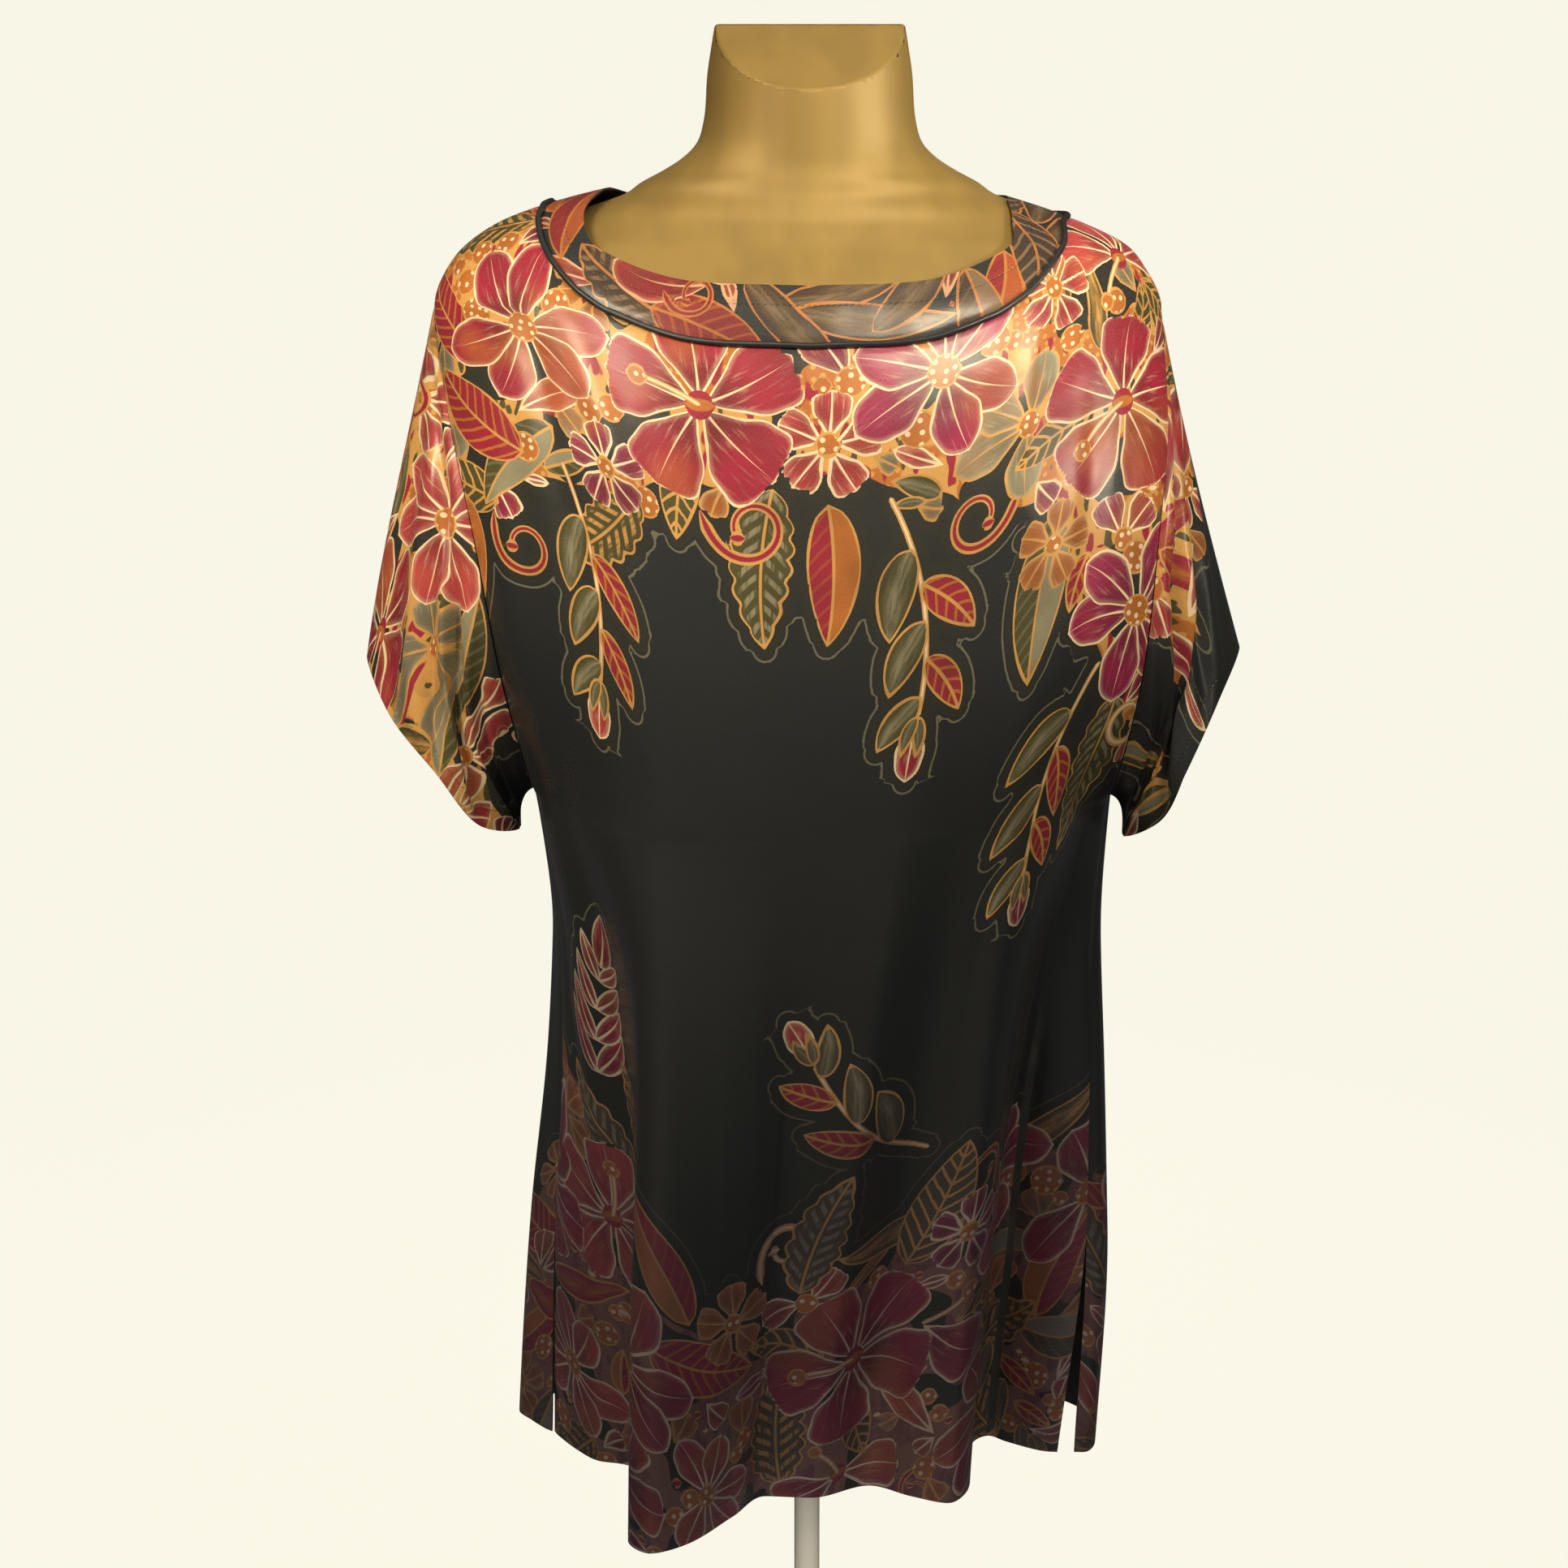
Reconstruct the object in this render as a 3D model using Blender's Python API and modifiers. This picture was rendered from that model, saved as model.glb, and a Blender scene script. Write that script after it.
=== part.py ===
"""A printed satin tunic dress on a limbless dress form with a plain stand.

Metres, +Z up, the front faces -Y. The origin is on the floor, under the middle of the round base.
Left and right are the sides of a front view: left is -X. The cloth is a wall of even thickness
through sections worked out from the tables below. The form and the stand are smooth solids.
"""

from collections import defaultdict, namedtuple
from math import copysign, cos, pi, radians, sin

import bmesh
import bpy
import numpy as np

# Driving dimensions of the dress
HEM_HEIGHT = 0.180
VENT_TOP = 0.333
CLOTH = 0.0015
SEAM_HALF_GAP = 0.00025
ARMHOLE_GAP = 0.0006
PIPING_RADIUS = 0.0017
PIPING_CLEARANCE = 0.0003

# The piping crosses the shoulder and dips at the front and the back. The band ends at the neck opening.
Neckline = namedtuple("Neckline", "left right front back")
PIPING_HEIGHT = Neckline(left=0.9632, right=0.9556, front=0.8875, back=0.9330)
OPENING_HEIGHT = Neckline(left=0.9715, right=0.9665, front=0.9193, back=0.9560)

# Share of the dip that is climbed at each angle from the middle of the front or the back.
Climb = namedtuple("Climb", "angle share")
NECK_CLIMB = [
    Climb(0.0, 0.00),
    Climb(18.0, 0.07),
    Climb(33.0, 0.36),
    Climb(48.0, 0.72),
    Climb(65.0, 0.92),
    Climb(90.0, 1.00),
]

# Edges of the front and back panels, from the hem up the side seam, armhole and shoulder seam.
Edge = namedtuple("Edge", "height left left_depth right right_depth")
EDGES = [
    Edge(0.180, 0.1655, 0.048, 0.1660, 0.018),
    Edge(0.333, 0.1600, 0.034, 0.1755, 0.018),
    Edge(0.440, 0.1530, 0.024, 0.1750, 0.014),
    Edge(0.520, 0.1515, 0.014, 0.1740, 0.010),
    Edge(0.600, 0.1610, 0.006, 0.1790, 0.005),
    Edge(0.700, 0.1770, 0.000, 0.1905, 0.000),
    Edge(0.776, 0.1890, 0.000, 0.1965, 0.000),
    Edge(0.850, 0.2050, 0.000, 0.2030, 0.000),
    Edge(0.905, 0.2150, 0.000, 0.2020, 0.000),
    Edge(0.926, 0.2075, 0.000, 0.1925, 0.000),
    Edge(0.940, 0.1955, 0.000, 0.1800, 0.000),
    Edge(0.953, 0.1750, 0.000, 0.1525, 0.000),
    Edge(0.960, 0.1565, 0.000, 0.1335, 0.000),
    Edge(0.967, 0.1320, 0.000, 0.1110, 0.000),
    Edge(0.974, 0.1020, 0.000, 0.0900, 0.000),
]

# Depths of the cloth in the middle of the front and back, and how square its section is.
Girth = namedtuple("Girth", "height front back square")
GIRTHS = [
    Girth(0.180, 0.104, 0.104, 2.4),
    Girth(0.440, 0.117, 0.103, 2.4),
    Girth(0.600, 0.122, 0.103, 2.5),
    Girth(0.700, 0.127, 0.106, 2.5),
    Girth(0.776, 0.122, 0.107, 2.4),
    Girth(0.850, 0.109, 0.102, 2.4),
    Girth(0.905, 0.091, 0.090, 2.3),
    Girth(0.926, 0.080, 0.080, 2.2),
    Girth(0.940, 0.071, 0.072, 2.2),
    Girth(0.953, 0.062, 0.066, 2.1),
    Girth(0.967, 0.056, 0.061, 2.1),
    Girth(0.974, 0.053, 0.059, 2.1),
]

# The hem seen from above, from the left side seam to the right one. Positive depth is to the back.
Hem = namedtuple("Hem", "across depth")
FRONT_HEM = [
    Hem(-0.1655, 0.048),
    Hem(-0.1466, 0.021),
    Hem(-0.1332, 0.007),
    Hem(-0.1170, 0.002),
    Hem(-0.1040, -0.006),
    Hem(-0.0985, -0.030),
    Hem(-0.1040, -0.070),
    Hem(-0.1080, -0.097),
    Hem(-0.0940, -0.113),
    Hem(-0.0740, -0.103),
    Hem(-0.0455, -0.067),
    Hem(-0.0260, -0.041),
    Hem(0.0025, -0.043),
    Hem(0.0385, -0.027),
    Hem(0.0640, -0.041),
    Hem(0.0865, -0.050),
    Hem(0.0985, -0.036),
    Hem(0.1035, 0.004),
    Hem(0.1080, 0.034),
    Hem(0.1180, 0.042),
    Hem(0.1290, 0.034),
    Hem(0.1530, 0.021),
    Hem(0.1660, 0.018),
]
BACK_HEM = [
    Hem(-0.1655, 0.048),
    Hem(-0.1790, 0.064),
    Hem(-0.1895, 0.080),
    Hem(-0.1800, 0.103),
    Hem(-0.1400, 0.108),
    Hem(-0.0980, 0.126),
    Hem(-0.0480, 0.118),
    Hem(-0.0050, 0.100),
    Hem(0.0420, 0.116),
    Hem(0.0860, 0.127),
    Hem(0.1300, 0.108),
    Hem(0.1680, 0.098),
    Hem(0.1865, 0.070),
    Hem(0.1850, 0.036),
    Hem(0.1765, 0.020),
    Hem(0.1660, 0.018),
]
FOLDS_END = {"front": 0.640, "back": 0.680}

# The side folds deepen sooner below the bust than the middle does. The shares run across the panel.
SIDE_FOLD_QUICKNESS = {"front": 1.0, "back": 0.2}
MIDDLE_SHARE = 0.15
SIDE_SHARE = 0.40

# Each vent edge moves sideways at the hem, and less towards the vent's top.
VENT_SPREAD = {"front": (0.0010, -0.0060), "back": (-0.0010, 0.0053)}
VENT_REACH = 0.22

# Shares of the panels' height at the underarm and at the top of the armhole.
UNDERARM_SHARE = 0.560
ARMHOLE_TOP_SHARE = 0.930
ARMHOLE_OPENING = radians(30.0)

# Sleeve hems, round from the top of the arm by the front, the underarm and the back.
Cuff = namedtuple("Cuff", "turn across depth height")
LEFT_CUFF = [
    Cuff(0.000, -0.2610, 0.000, 0.7010),
    Cuff(0.125, -0.2440, -0.036, 0.6720),
    Cuff(0.250, -0.2170, -0.055, 0.6430),
    Cuff(0.375, -0.1930, -0.040, 0.6070),
    Cuff(0.500, -0.1720, 0.000, 0.5960),
    Cuff(0.625, -0.1900, 0.036, 0.6060),
    Cuff(0.750, -0.2130, 0.052, 0.6340),
    Cuff(0.875, -0.2410, 0.038, 0.6700),
]
RIGHT_CUFF = [
    Cuff(0.000, 0.2544, 0.000, 0.7065),
    Cuff(0.125, 0.2370, -0.036, 0.6780),
    Cuff(0.250, 0.2180, -0.050, 0.6400),
    Cuff(0.375, 0.2060, -0.034, 0.6080),
    Cuff(0.500, 0.1880, 0.000, 0.5910),
    Cuff(0.625, 0.2090, 0.036, 0.6060),
    Cuff(0.750, 0.2220, 0.054, 0.6320),
    Cuff(0.875, 0.2400, 0.042, 0.6720),
]
SLEEVE_START_TOP = radians(12.0)
SLEEVE_START_UNDERARM = radians(78.0)
SLEEVE_FLARE = {"left": 0.16, "right": 0.30}
SLEEVE_HOLLOW = {"left": 0.004, "right": 0.012}

# Mesh densities of the cloth
PANEL_COLUMNS = {"front": 48, "back": 30}
SKIRT_ROWS = 10
ARMHOLE_ROWS = 12
SHOULDER_ROWS = 4
SLEEVE_ROWS = 9
BAND_ROWS = 2

# The dress form: smooth sections from its underside to the top of its neck.
FormSection = namedtuple("FormSection", "height half_width front back square")
FORM = [
    FormSection(0.450, 0.112, 0.056, 0.078, 2.2),
    FormSection(0.500, 0.113, 0.066, 0.078, 2.2),
    FormSection(0.560, 0.117, 0.079, 0.078, 2.2),
    FormSection(0.600, 0.125, 0.090, 0.080, 2.2),
    FormSection(0.650, 0.138, 0.106, 0.087, 2.3),
    FormSection(0.700, 0.149, 0.119, 0.094, 2.3),
    FormSection(0.750, 0.159, 0.118, 0.099, 2.3),
    FormSection(0.800, 0.170, 0.111, 0.099, 2.3),
    FormSection(0.850, 0.183, 0.102, 0.095, 2.3),
    FormSection(0.885, 0.1915, 0.0925, 0.0890, 2.3),
    FormSection(0.905, 0.1935, 0.0860, 0.0840, 2.3),
    FormSection(0.918, 0.1915, 0.0805, 0.0795, 2.2),
    FormSection(0.929, 0.1845, 0.0730, 0.0735, 2.2),
    FormSection(0.940, 0.1730, 0.0655, 0.0670, 2.2),
    FormSection(0.947, 0.1590, 0.0615, 0.0645, 2.1),
    FormSection(0.953, 0.1450, 0.0580, 0.0620, 2.1),
    FormSection(0.960, 0.1270, 0.0555, 0.0595, 2.1),
    FormSection(0.967, 0.1060, 0.0528, 0.0578, 2.1),
    FormSection(0.974, 0.0955, 0.0515, 0.0570, 2.1),
    FormSection(0.980, 0.0840, 0.0505, 0.0560, 2.0),
    FormSection(0.987, 0.0727, 0.0500, 0.0550, 2.0),
    FormSection(0.995, 0.0645, 0.0500, 0.0540, 2.0),
    FormSection(1.007, 0.0603, 0.0500, 0.0535, 2.0),
    FormSection(1.034, 0.0578, 0.0495, 0.0525, 2.0),
    FormSection(1.0605, 0.0535, 0.0480, 0.0510, 2.0),
]
FORM_SIDES = 48

# The neck's slanted cut rises from the throat to the middle of the flat top.
NECK_CUT_FRONT = (-0.0490, 1.0245)
NECK_CUT_BACK = (-0.0060, 1.0605)

# The stand
BASE_RADIUS = 0.150
BASE_HEIGHT = 0.012
BASE_EDGE = 0.003
BASE_SIDES = 48
POLE_RADIUS = 0.008
POLE_SIDES = 20
REST_GAP = 0.0003

# The colours of the finishes: red, green and blue, then roughness and metallic
FINISHES = {
    "printed_satin": ((0.055, 0.040, 0.030), 0.38, 0.0),
    "black_satin": ((0.008, 0.009, 0.009), 0.35, 0.0),
    "gold_plastic": ((0.48, 0.33, 0.11), 0.34, 0.75),
    "ivory_metal": ((0.83, 0.79, 0.68), 0.45, 0.0),
}


def cubic_through(places, values, where):
    """Monotone cubic through rising places, read at any places, with no overshoot."""
    places = np.asarray(places, float)
    values = np.asarray(values, float)
    where = np.clip(np.asarray(where, float), places[0], places[-1])
    steps = np.diff(places)
    slopes = np.diff(values) / steps
    tangents = np.concatenate([slopes[:1], (slopes[:-1] + slopes[1:]) / 2, slopes[-1:]])
    turning = np.concatenate([[False], slopes[:-1] * slopes[1:] <= 0, [False]])
    tangents[turning] = 0.0
    limit = 3 * np.minimum(np.abs(np.r_[slopes[:1], slopes]), np.abs(np.r_[slopes, slopes[-1:]]))
    tangents = np.clip(tangents, -limit, limit)
    index = np.clip(np.searchsorted(places, where, side="right") - 1, 0, len(steps) - 1)
    step = steps[index]
    part = (where - places[index]) / step
    start_weight = (1 + 2 * part) * (1 - part) ** 2
    end_weight = part**2 * (3 - 2 * part)
    start_pull = part * (1 - part) ** 2 * step
    end_pull = part**2 * (part - 1) * step
    return (
        start_weight * values[index]
        + end_weight * values[index + 1]
        + start_pull * tangents[index]
        + end_pull * tangents[index + 1]
    )


def column(table, name):
    """One named column of a table of named rows."""
    return [getattr(row, name) for row in table]


def read(table, name, where):
    """A table's named column at any value of its first column."""
    return cubic_through(column(table, table[0]._fields[0]), column(table, name), where)


def neck_height(line, side, across):
    """Height of a neckline for columns across a panel, from -1 at its left edge to 1."""
    low = getattr(line, side)
    high = line.left + (line.right - line.left) * (across + 1) / 2
    climb = read(NECK_CLIMB, "share", np.abs(across) * 90.0)
    return low + (high - low) * climb


def armhole_share(across, height):
    """How far up the armhole a height lies, from 0 at the underarm to 1 at its top."""
    top = PIPING_HEIGHT.left + (PIPING_HEIGHT.right - PIPING_HEIGHT.left) * (across + 1) / 2
    low = HEM_HEIGHT + UNDERARM_SHARE * (top - HEM_HEIGHT)
    high = HEM_HEIGHT + ARMHOLE_TOP_SHARE * (top - HEM_HEIGHT)
    return np.clip((height - low) / (high - low), 0.0, 1.0)


def hem_point(side, across):
    """The hem's plan point at a share of its length, from -1 at the left seam to 1."""
    table = FRONT_HEM if side == "front" else BACK_HEM
    x = np.array(column(table, "across"))
    y = np.array(column(table, "depth"))
    lengths = np.concatenate([[0.0], np.cumsum(np.hypot(np.diff(x), np.diff(y)))])
    place = (across + 1) / 2 * lengths[-1]
    return cubic_through(lengths, x, place), cubic_through(lengths, y, place)


def cloth_point(side, across, height):
    """Outer point of the body's cloth at a share across the panel and a height."""
    left_part = (1 - across) / 2
    edge_depth = (
        read(EDGES, "left_depth", height) * left_part
        + read(EDGES, "right_depth", height) * (1 - left_part)
    )
    half_width = np.where(across < 0, read(EDGES, "left", height), read(EDGES, "right", height))
    square = 2 / read(GIRTHS, "square", height)
    opening = ARMHOLE_OPENING * np.sin(pi * armhole_share(across, height)) ** 0.7
    reach = pi / 2 - opening
    angle = across * reach
    reach_x = half_width / np.sin(reach) ** square
    middle = read(GIRTHS, side, height) * (-1 if side == "front" else 1)
    x = reach_x * np.sign(angle) * np.abs(np.sin(angle)) ** square
    y = edge_depth + (middle - edge_depth) * np.abs(np.cos(angle)) ** square

    fold = np.clip((FOLDS_END[side] - height) / (FOLDS_END[side] - HEM_HEIGHT), 0.0, 1.0)
    aside = np.clip((np.abs(across) - MIDDLE_SHARE) / (SIDE_SHARE - MIDDLE_SHARE), 0.0, 1.0)
    fold = 1 - (1 - fold) ** (1 + SIDE_FOLD_QUICKNESS[side] * aside)
    hem_x, hem_y = hem_point(side, across)
    hem_width = np.where(across < 0, EDGES[0].left, EDGES[0].right)
    hem_depth = EDGES[0].left_depth * left_part + EDGES[0].right_depth * (1 - left_part)
    x = x + fold * (hem_x * half_width / hem_width - x)
    y = y + fold * (hem_y - hem_depth + edge_depth - y)

    vent = np.clip((VENT_TOP - height) / (VENT_TOP - HEM_HEIGHT), 0.0, 1.0)
    near_edge = np.clip(1 - (1 - np.abs(across)) / VENT_REACH, 0.0, 1.0) ** 2
    left_spread, right_spread = VENT_SPREAD[side]
    x = x + vent * near_edge * np.where(across < 0, left_spread, right_spread)
    return np.stack([x, y, height + 0 * x], axis=-1)


def row_shares():
    """Shares of a panel's height for its rows, with rows at the underarm and armhole top."""
    skirt = np.linspace(0.0, UNDERARM_SHARE, SKIRT_ROWS + 1)
    armhole = np.linspace(UNDERARM_SHARE, ARMHOLE_TOP_SHARE, ARMHOLE_ROWS + 1)
    shoulder = np.linspace(ARMHOLE_TOP_SHARE, 1.0, SHOULDER_ROWS + 1)
    return np.concatenate([skirt, armhole[1:], shoulder[1:]])


def across_shares(side):
    """Places of a panel's columns, to the right at the front and to the left at the back."""
    shares = np.linspace(-1.0, 1.0, PANEL_COLUMNS[side] + 1)
    return shares if side == "front" else shares[::-1]


def panel_grid(side):
    """Outer points of the front or back panel, from the hem up to the piping."""
    across = across_shares(side)[None, :]
    top = neck_height(PIPING_HEIGHT, side, across)
    height = HEM_HEIGHT + row_shares()[:, None] * (top - HEM_HEIGHT)
    return cloth_point(side, across + 0 * height, height)


def band_grid(side):
    """Outer points of the neck band, from the piping up to the neck opening."""
    across = across_shares(side)[None, :]
    low = neck_height(PIPING_HEIGHT, side, across)
    high = neck_height(OPENING_HEIGHT, side, across)
    rise = np.linspace(0.0, 1.0, BAND_ROWS + 1)[:, None]
    height = low + rise * (high - low)
    return cloth_point(side, across + 0 * height, height)


def armhole_loop(front, back, name):
    """The armhole's points: down the front panel's edge and up the back panel's."""
    rows = slice(SKIRT_ROWS, SKIRT_ROWS + ARMHOLE_ROWS + 1)
    front_column, back_column = (0, -1) if name == "left" else (-1, 0)
    down = front[rows, front_column][::-1]
    up = back[rows, back_column]
    return np.concatenate([down, up[1:]])


def cuff_loop(table, turns):
    """The sleeve hem's points at the given turns, closed round on itself."""
    closed = table[-2:] + table + table[:2]
    places = np.array(column(closed, "turn"))
    places[:2] -= 1
    places[-2:] += 1
    names = ("across", "depth", "height")
    return np.stack([cubic_through(places, column(closed, name), turns) for name in names], axis=-1)


def sleeve_grid(front, back, name):
    """Outer points of a sleeve, from the armhole out to its hem."""
    side = -1 if name == "left" else 1
    start = armhole_loop(front, back, name)
    turns = np.linspace(0.0, 1.0, len(start))
    end = cuff_loop(LEFT_CUFF if name == "left" else RIGHT_CUFF, turns)
    down_share = (1 - np.cos(2 * pi * turns)) / 2
    lean = SLEEVE_START_TOP + (SLEEVE_START_UNDERARM - SLEEVE_START_TOP) * down_share
    leaving = np.stack([side * np.sin(lean), 0 * lean, -np.cos(lean)], axis=-1)
    flare = SLEEVE_FLARE[name] * (1 - down_share)
    falling = np.stack([side * flare, 0 * flare, 0 * flare - 1.0], axis=-1)
    length = np.linalg.norm(end - start, axis=-1, keepdims=True)
    frontness = np.clip(np.sin(2 * pi * turns), 0.0, 1.0)
    rows = []
    for part in np.linspace(0.0, 1.0, SLEEVE_ROWS + 1):
        row = (
            (1 + 2 * part) * (1 - part) ** 2 * start
            + part**2 * (3 - 2 * part) * end
            + part * (1 - part) ** 2 * leaving * length
            + part**2 * (part - 1) * falling * length
        )
        row[:, 1] += SLEEVE_HOLLOW[name] * frontness * np.sin(pi * part) ** 2
        rows.append(row)
    rows = np.array(rows)
    return rows if name == "right" else rows[:, ::-1]


def unit(vectors):
    """Vectors scaled to a length of 1."""
    return vectors / np.linalg.norm(vectors, axis=-1, keepdims=True)


def face_normals(grid):
    """Normals of a grid's quads, with the length of their area."""
    return np.cross(grid[1:, 1:] - grid[:-1, :-1], grid[1:, :-1] - grid[:-1, 1:]) / 2


def own_normals(grid, closed):
    """Unit normals of one grid's points, from its own faces."""
    faces = face_normals(grid)
    normals = np.zeros_like(grid)
    for rows in (slice(0, -1), slice(1, None)):
        for columns in (slice(0, -1), slice(1, None)):
            normals[rows, columns] += faces
    if closed:
        seam = normals[:, 0] + normals[:, -1]
        normals[:, 0] = seam
        normals[:, -1] = seam
    return unit(normals)


def place_key(point):
    """A point's place to a hundredth of a millimetre, for finding what meets there."""
    return tuple(np.round(point * 1e5).astype(int))


def shared_normals(normals, grids):
    """Normals that pieces share where they meet, so that their seams are mitred."""
    sums = defaultdict(lambda: np.zeros(3))
    for name, grid in grids.items():
        for point, normal in zip(grid.reshape(-1, 3), normals[name].reshape(-1, 3)):
            sums[place_key(point)] += normal
    shared = {}
    for name, grid in grids.items():
        shared[name] = unit(np.array([[sums[place_key(point)] for point in row] for row in grid]))
    return shared


def edge_shift(points, normals, inner_points, distance):
    """Shift of an edge's points along the cloth, square to the edge and into the piece."""
    tangents = np.gradient(points, axis=0)
    inward = unit(np.cross(normals, tangents))
    toward = np.sum(inward * (inner_points - points), axis=-1, keepdims=True)
    return inward * np.sign(toward) * distance


def row_shift(grid, normals, row, beside, distance):
    """Shift of a grid's end row, whose corners move along the seams that they end."""
    shift = edge_shift(grid[row], normals[row], grid[beside], distance)
    for corner in (0, -1):
        shift[corner] = unit(grid[beside, corner] - grid[row, corner]) * distance
    return shift


def clear_of_neighbours(grid, normals, margins):
    """Shifts that draw a grid's edges in by the margin of each."""
    shift = np.zeros_like(grid)
    if margins.get("bottom"):
        shift[0] += row_shift(grid, normals, 0, 1, margins["bottom"])
    if margins.get("top"):
        shift[-1] += row_shift(grid, normals, -1, -2, margins["top"])
    if margins.get("start"):
        shift[:, 0] += edge_shift(grid[:, 0], normals[:, 0], grid[:, 1], margins["start"])
    if margins.get("end"):
        shift[:, -1] += edge_shift(grid[:, -1], normals[:, -1], grid[:, -2], margins["end"])
    return shift


def link_mesh(name, vertices, faces, material, collection):
    """A new smooth-shaded object from points and faces."""
    mesh = bpy.data.meshes.new(name)
    mesh.from_pydata([tuple(point) for point in vertices], [], faces)
    mesh.materials.append(material)
    mesh.shade_smooth()
    piece = bpy.data.objects.new(name, mesh)
    collection.objects.link(piece)
    return piece


def wall(name, outer, inner, closed, material, collection):
    """A wall of cloth between an outer and an inner grid, with its edges closed."""
    rows, columns = outer.shape[:2]
    if closed:
        columns -= 1
        outer = outer[:, :columns]
        inner = inner[:, :columns]
    points = np.concatenate([outer.reshape(-1, 3), inner.reshape(-1, 3)])
    layer = rows * columns
    steps = columns if closed else columns - 1

    def index(row, place, side):
        return side * layer + row * columns + place % columns

    faces = []
    for row in range(rows - 1):
        for place in range(steps):
            quad = [index(row, place, 0), index(row, place + 1, 0)]
            quad += [index(row + 1, place + 1, 0), index(row + 1, place, 0)]
            faces.append(quad)
            faces.append([corner + layer for corner in reversed(quad)])
    for row, turned in ((0, False), (rows - 1, True)):
        for place in range(steps):
            rim = [index(row, place + 1, 0), index(row, place, 0)]
            rim += [index(row, place, 1), index(row, place + 1, 1)]
            faces.append(rim[::-1] if turned else rim)
    if not closed:
        for place, turned in ((0, True), (columns - 1, False)):
            for row in range(rows - 1):
                rim = [index(row + 1, place, 0), index(row, place, 0)]
                rim += [index(row, place, 1), index(row + 1, place, 1)]
                faces.append(rim[::-1] if turned else rim)
    return link_mesh(name, points, faces, material, collection)


def finish_material(name):
    """A Principled material with a finish's colour, roughness and metallic value."""
    colour, roughness, metallic = FINISHES[name]
    material = bpy.data.materials.new(name)
    material.use_nodes = True
    shader = material.node_tree.nodes["Principled BSDF"]
    shader.inputs["Base Color"].default_value = (*colour, 1.0)
    shader.inputs["Roughness"].default_value = roughness
    shader.inputs["Metallic"].default_value = metallic
    return material


def piping(front, back, normals, material, collection):
    """The covered cord round the neck, in the seam between the panels and the band."""
    lift = CLOTH / 2 - PIPING_RADIUS
    front_line = front[-1] - normals["front"][-1] * lift
    back_line = back[-1] - normals["back"][-1] * lift
    path = np.concatenate([front_line, back_line[1:-1]])
    data = bpy.data.curves.new("piping", "CURVE")
    data.dimensions = "3D"
    data.bevel_depth = PIPING_RADIUS
    data.bevel_resolution = 1
    spline = data.splines.new("POLY")
    spline.points.add(len(path) - 1)
    for point, place in zip(spline.points, path):
        point.co = (*place, 1.0)
    spline.use_cyclic_u = True
    data.materials.append(material)
    cord = bpy.data.objects.new("piping", data)
    collection.objects.link(cord)
    return cord


def dress(collection, materials):
    """The panels, sleeves, neck bands and piping, as separate walls that meet at seams."""
    grids = {"front": panel_grid("front"), "back": panel_grid("back")}
    grids["neck_band_front"] = band_grid("front")
    grids["neck_band_back"] = band_grid("back")
    grids["sleeve_left"] = sleeve_grid(grids["front"], grids["back"], "left")
    grids["sleeve_right"] = sleeve_grid(grids["front"], grids["back"], "right")
    own = {name: own_normals(grid, name.startswith("sleeve")) for name, grid in grids.items()}
    normals = shared_normals(own, grids)
    at_piping = PIPING_RADIUS + PIPING_CLEARANCE
    seam = SEAM_HALF_GAP
    margins = {
        "front": {"top": at_piping, "start": seam, "end": seam},
        "back": {"top": at_piping, "start": seam, "end": seam},
        "neck_band_front": {"bottom": at_piping, "start": seam, "end": seam},
        "neck_band_back": {"bottom": at_piping, "start": seam, "end": seam},
        "sleeve_left": {"bottom": ARMHOLE_GAP},
        "sleeve_right": {"bottom": ARMHOLE_GAP},
    }
    for name, grid in grids.items():
        closed = name.startswith("sleeve")
        shift = clear_of_neighbours(grid, own[name], margins[name])
        inner = grid - normals[name] * CLOTH
        wall(name, grid + shift, inner + shift, closed, materials["printed_satin"], collection)
    piping(grids["front"], grids["back"], normals, materials["black_satin"], collection)


def cut_above(mesh, point, direction):
    """Cut away what lies beyond a plane, and close the cut with a flat face."""
    geometry = mesh.verts[:] + mesh.edges[:] + mesh.faces[:]
    cut = bmesh.ops.bisect_plane(
        mesh, geom=geometry, plane_co=point, plane_no=direction, clear_outer=True
    )
    rim = [item for item in cut["geom_cut"] if isinstance(item, bmesh.types.BMEdge)]
    bmesh.ops.contextual_create(mesh, geom=rim)


def dress_form(collection, material):
    """The limbless form: rings of one superellipse each, capped, with the slanted neck cut."""
    mesh = bmesh.new()
    rings = []
    for section in FORM:
        ring = []
        power = 2 / section.square
        for side in range(FORM_SIDES):
            angle = 2 * pi * side / FORM_SIDES
            across = copysign(abs(cos(angle)) ** power, cos(angle))
            depth = abs(sin(angle)) ** power
            reach = section.back if sin(angle) > 0 else -section.front
            place = (section.half_width * across, reach * depth, section.height)
            ring.append(mesh.verts.new(place))
        rings.append(ring)
    for low, high in zip(rings, rings[1:]):
        for side in range(FORM_SIDES):
            beside = (side + 1) % FORM_SIDES
            mesh.faces.new((low[side], low[beside], high[beside], high[side]))
    mesh.faces.new(rings[0][::-1])
    mesh.faces.new(rings[-1])
    rise = NECK_CUT_BACK[1] - NECK_CUT_FRONT[1]
    run = NECK_CUT_BACK[0] - NECK_CUT_FRONT[0]
    cut_above(mesh, (0.0, *NECK_CUT_FRONT), (0.0, -rise, run))
    data = bpy.data.meshes.new("dress_form")
    mesh.to_mesh(data)
    mesh.free()
    data.materials.append(material)
    data.shade_smooth()
    data.set_sharp_from_angle(angle=radians(30.0))
    form = bpy.data.objects.new("dress_form", data)
    collection.objects.link(form)
    return form


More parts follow.
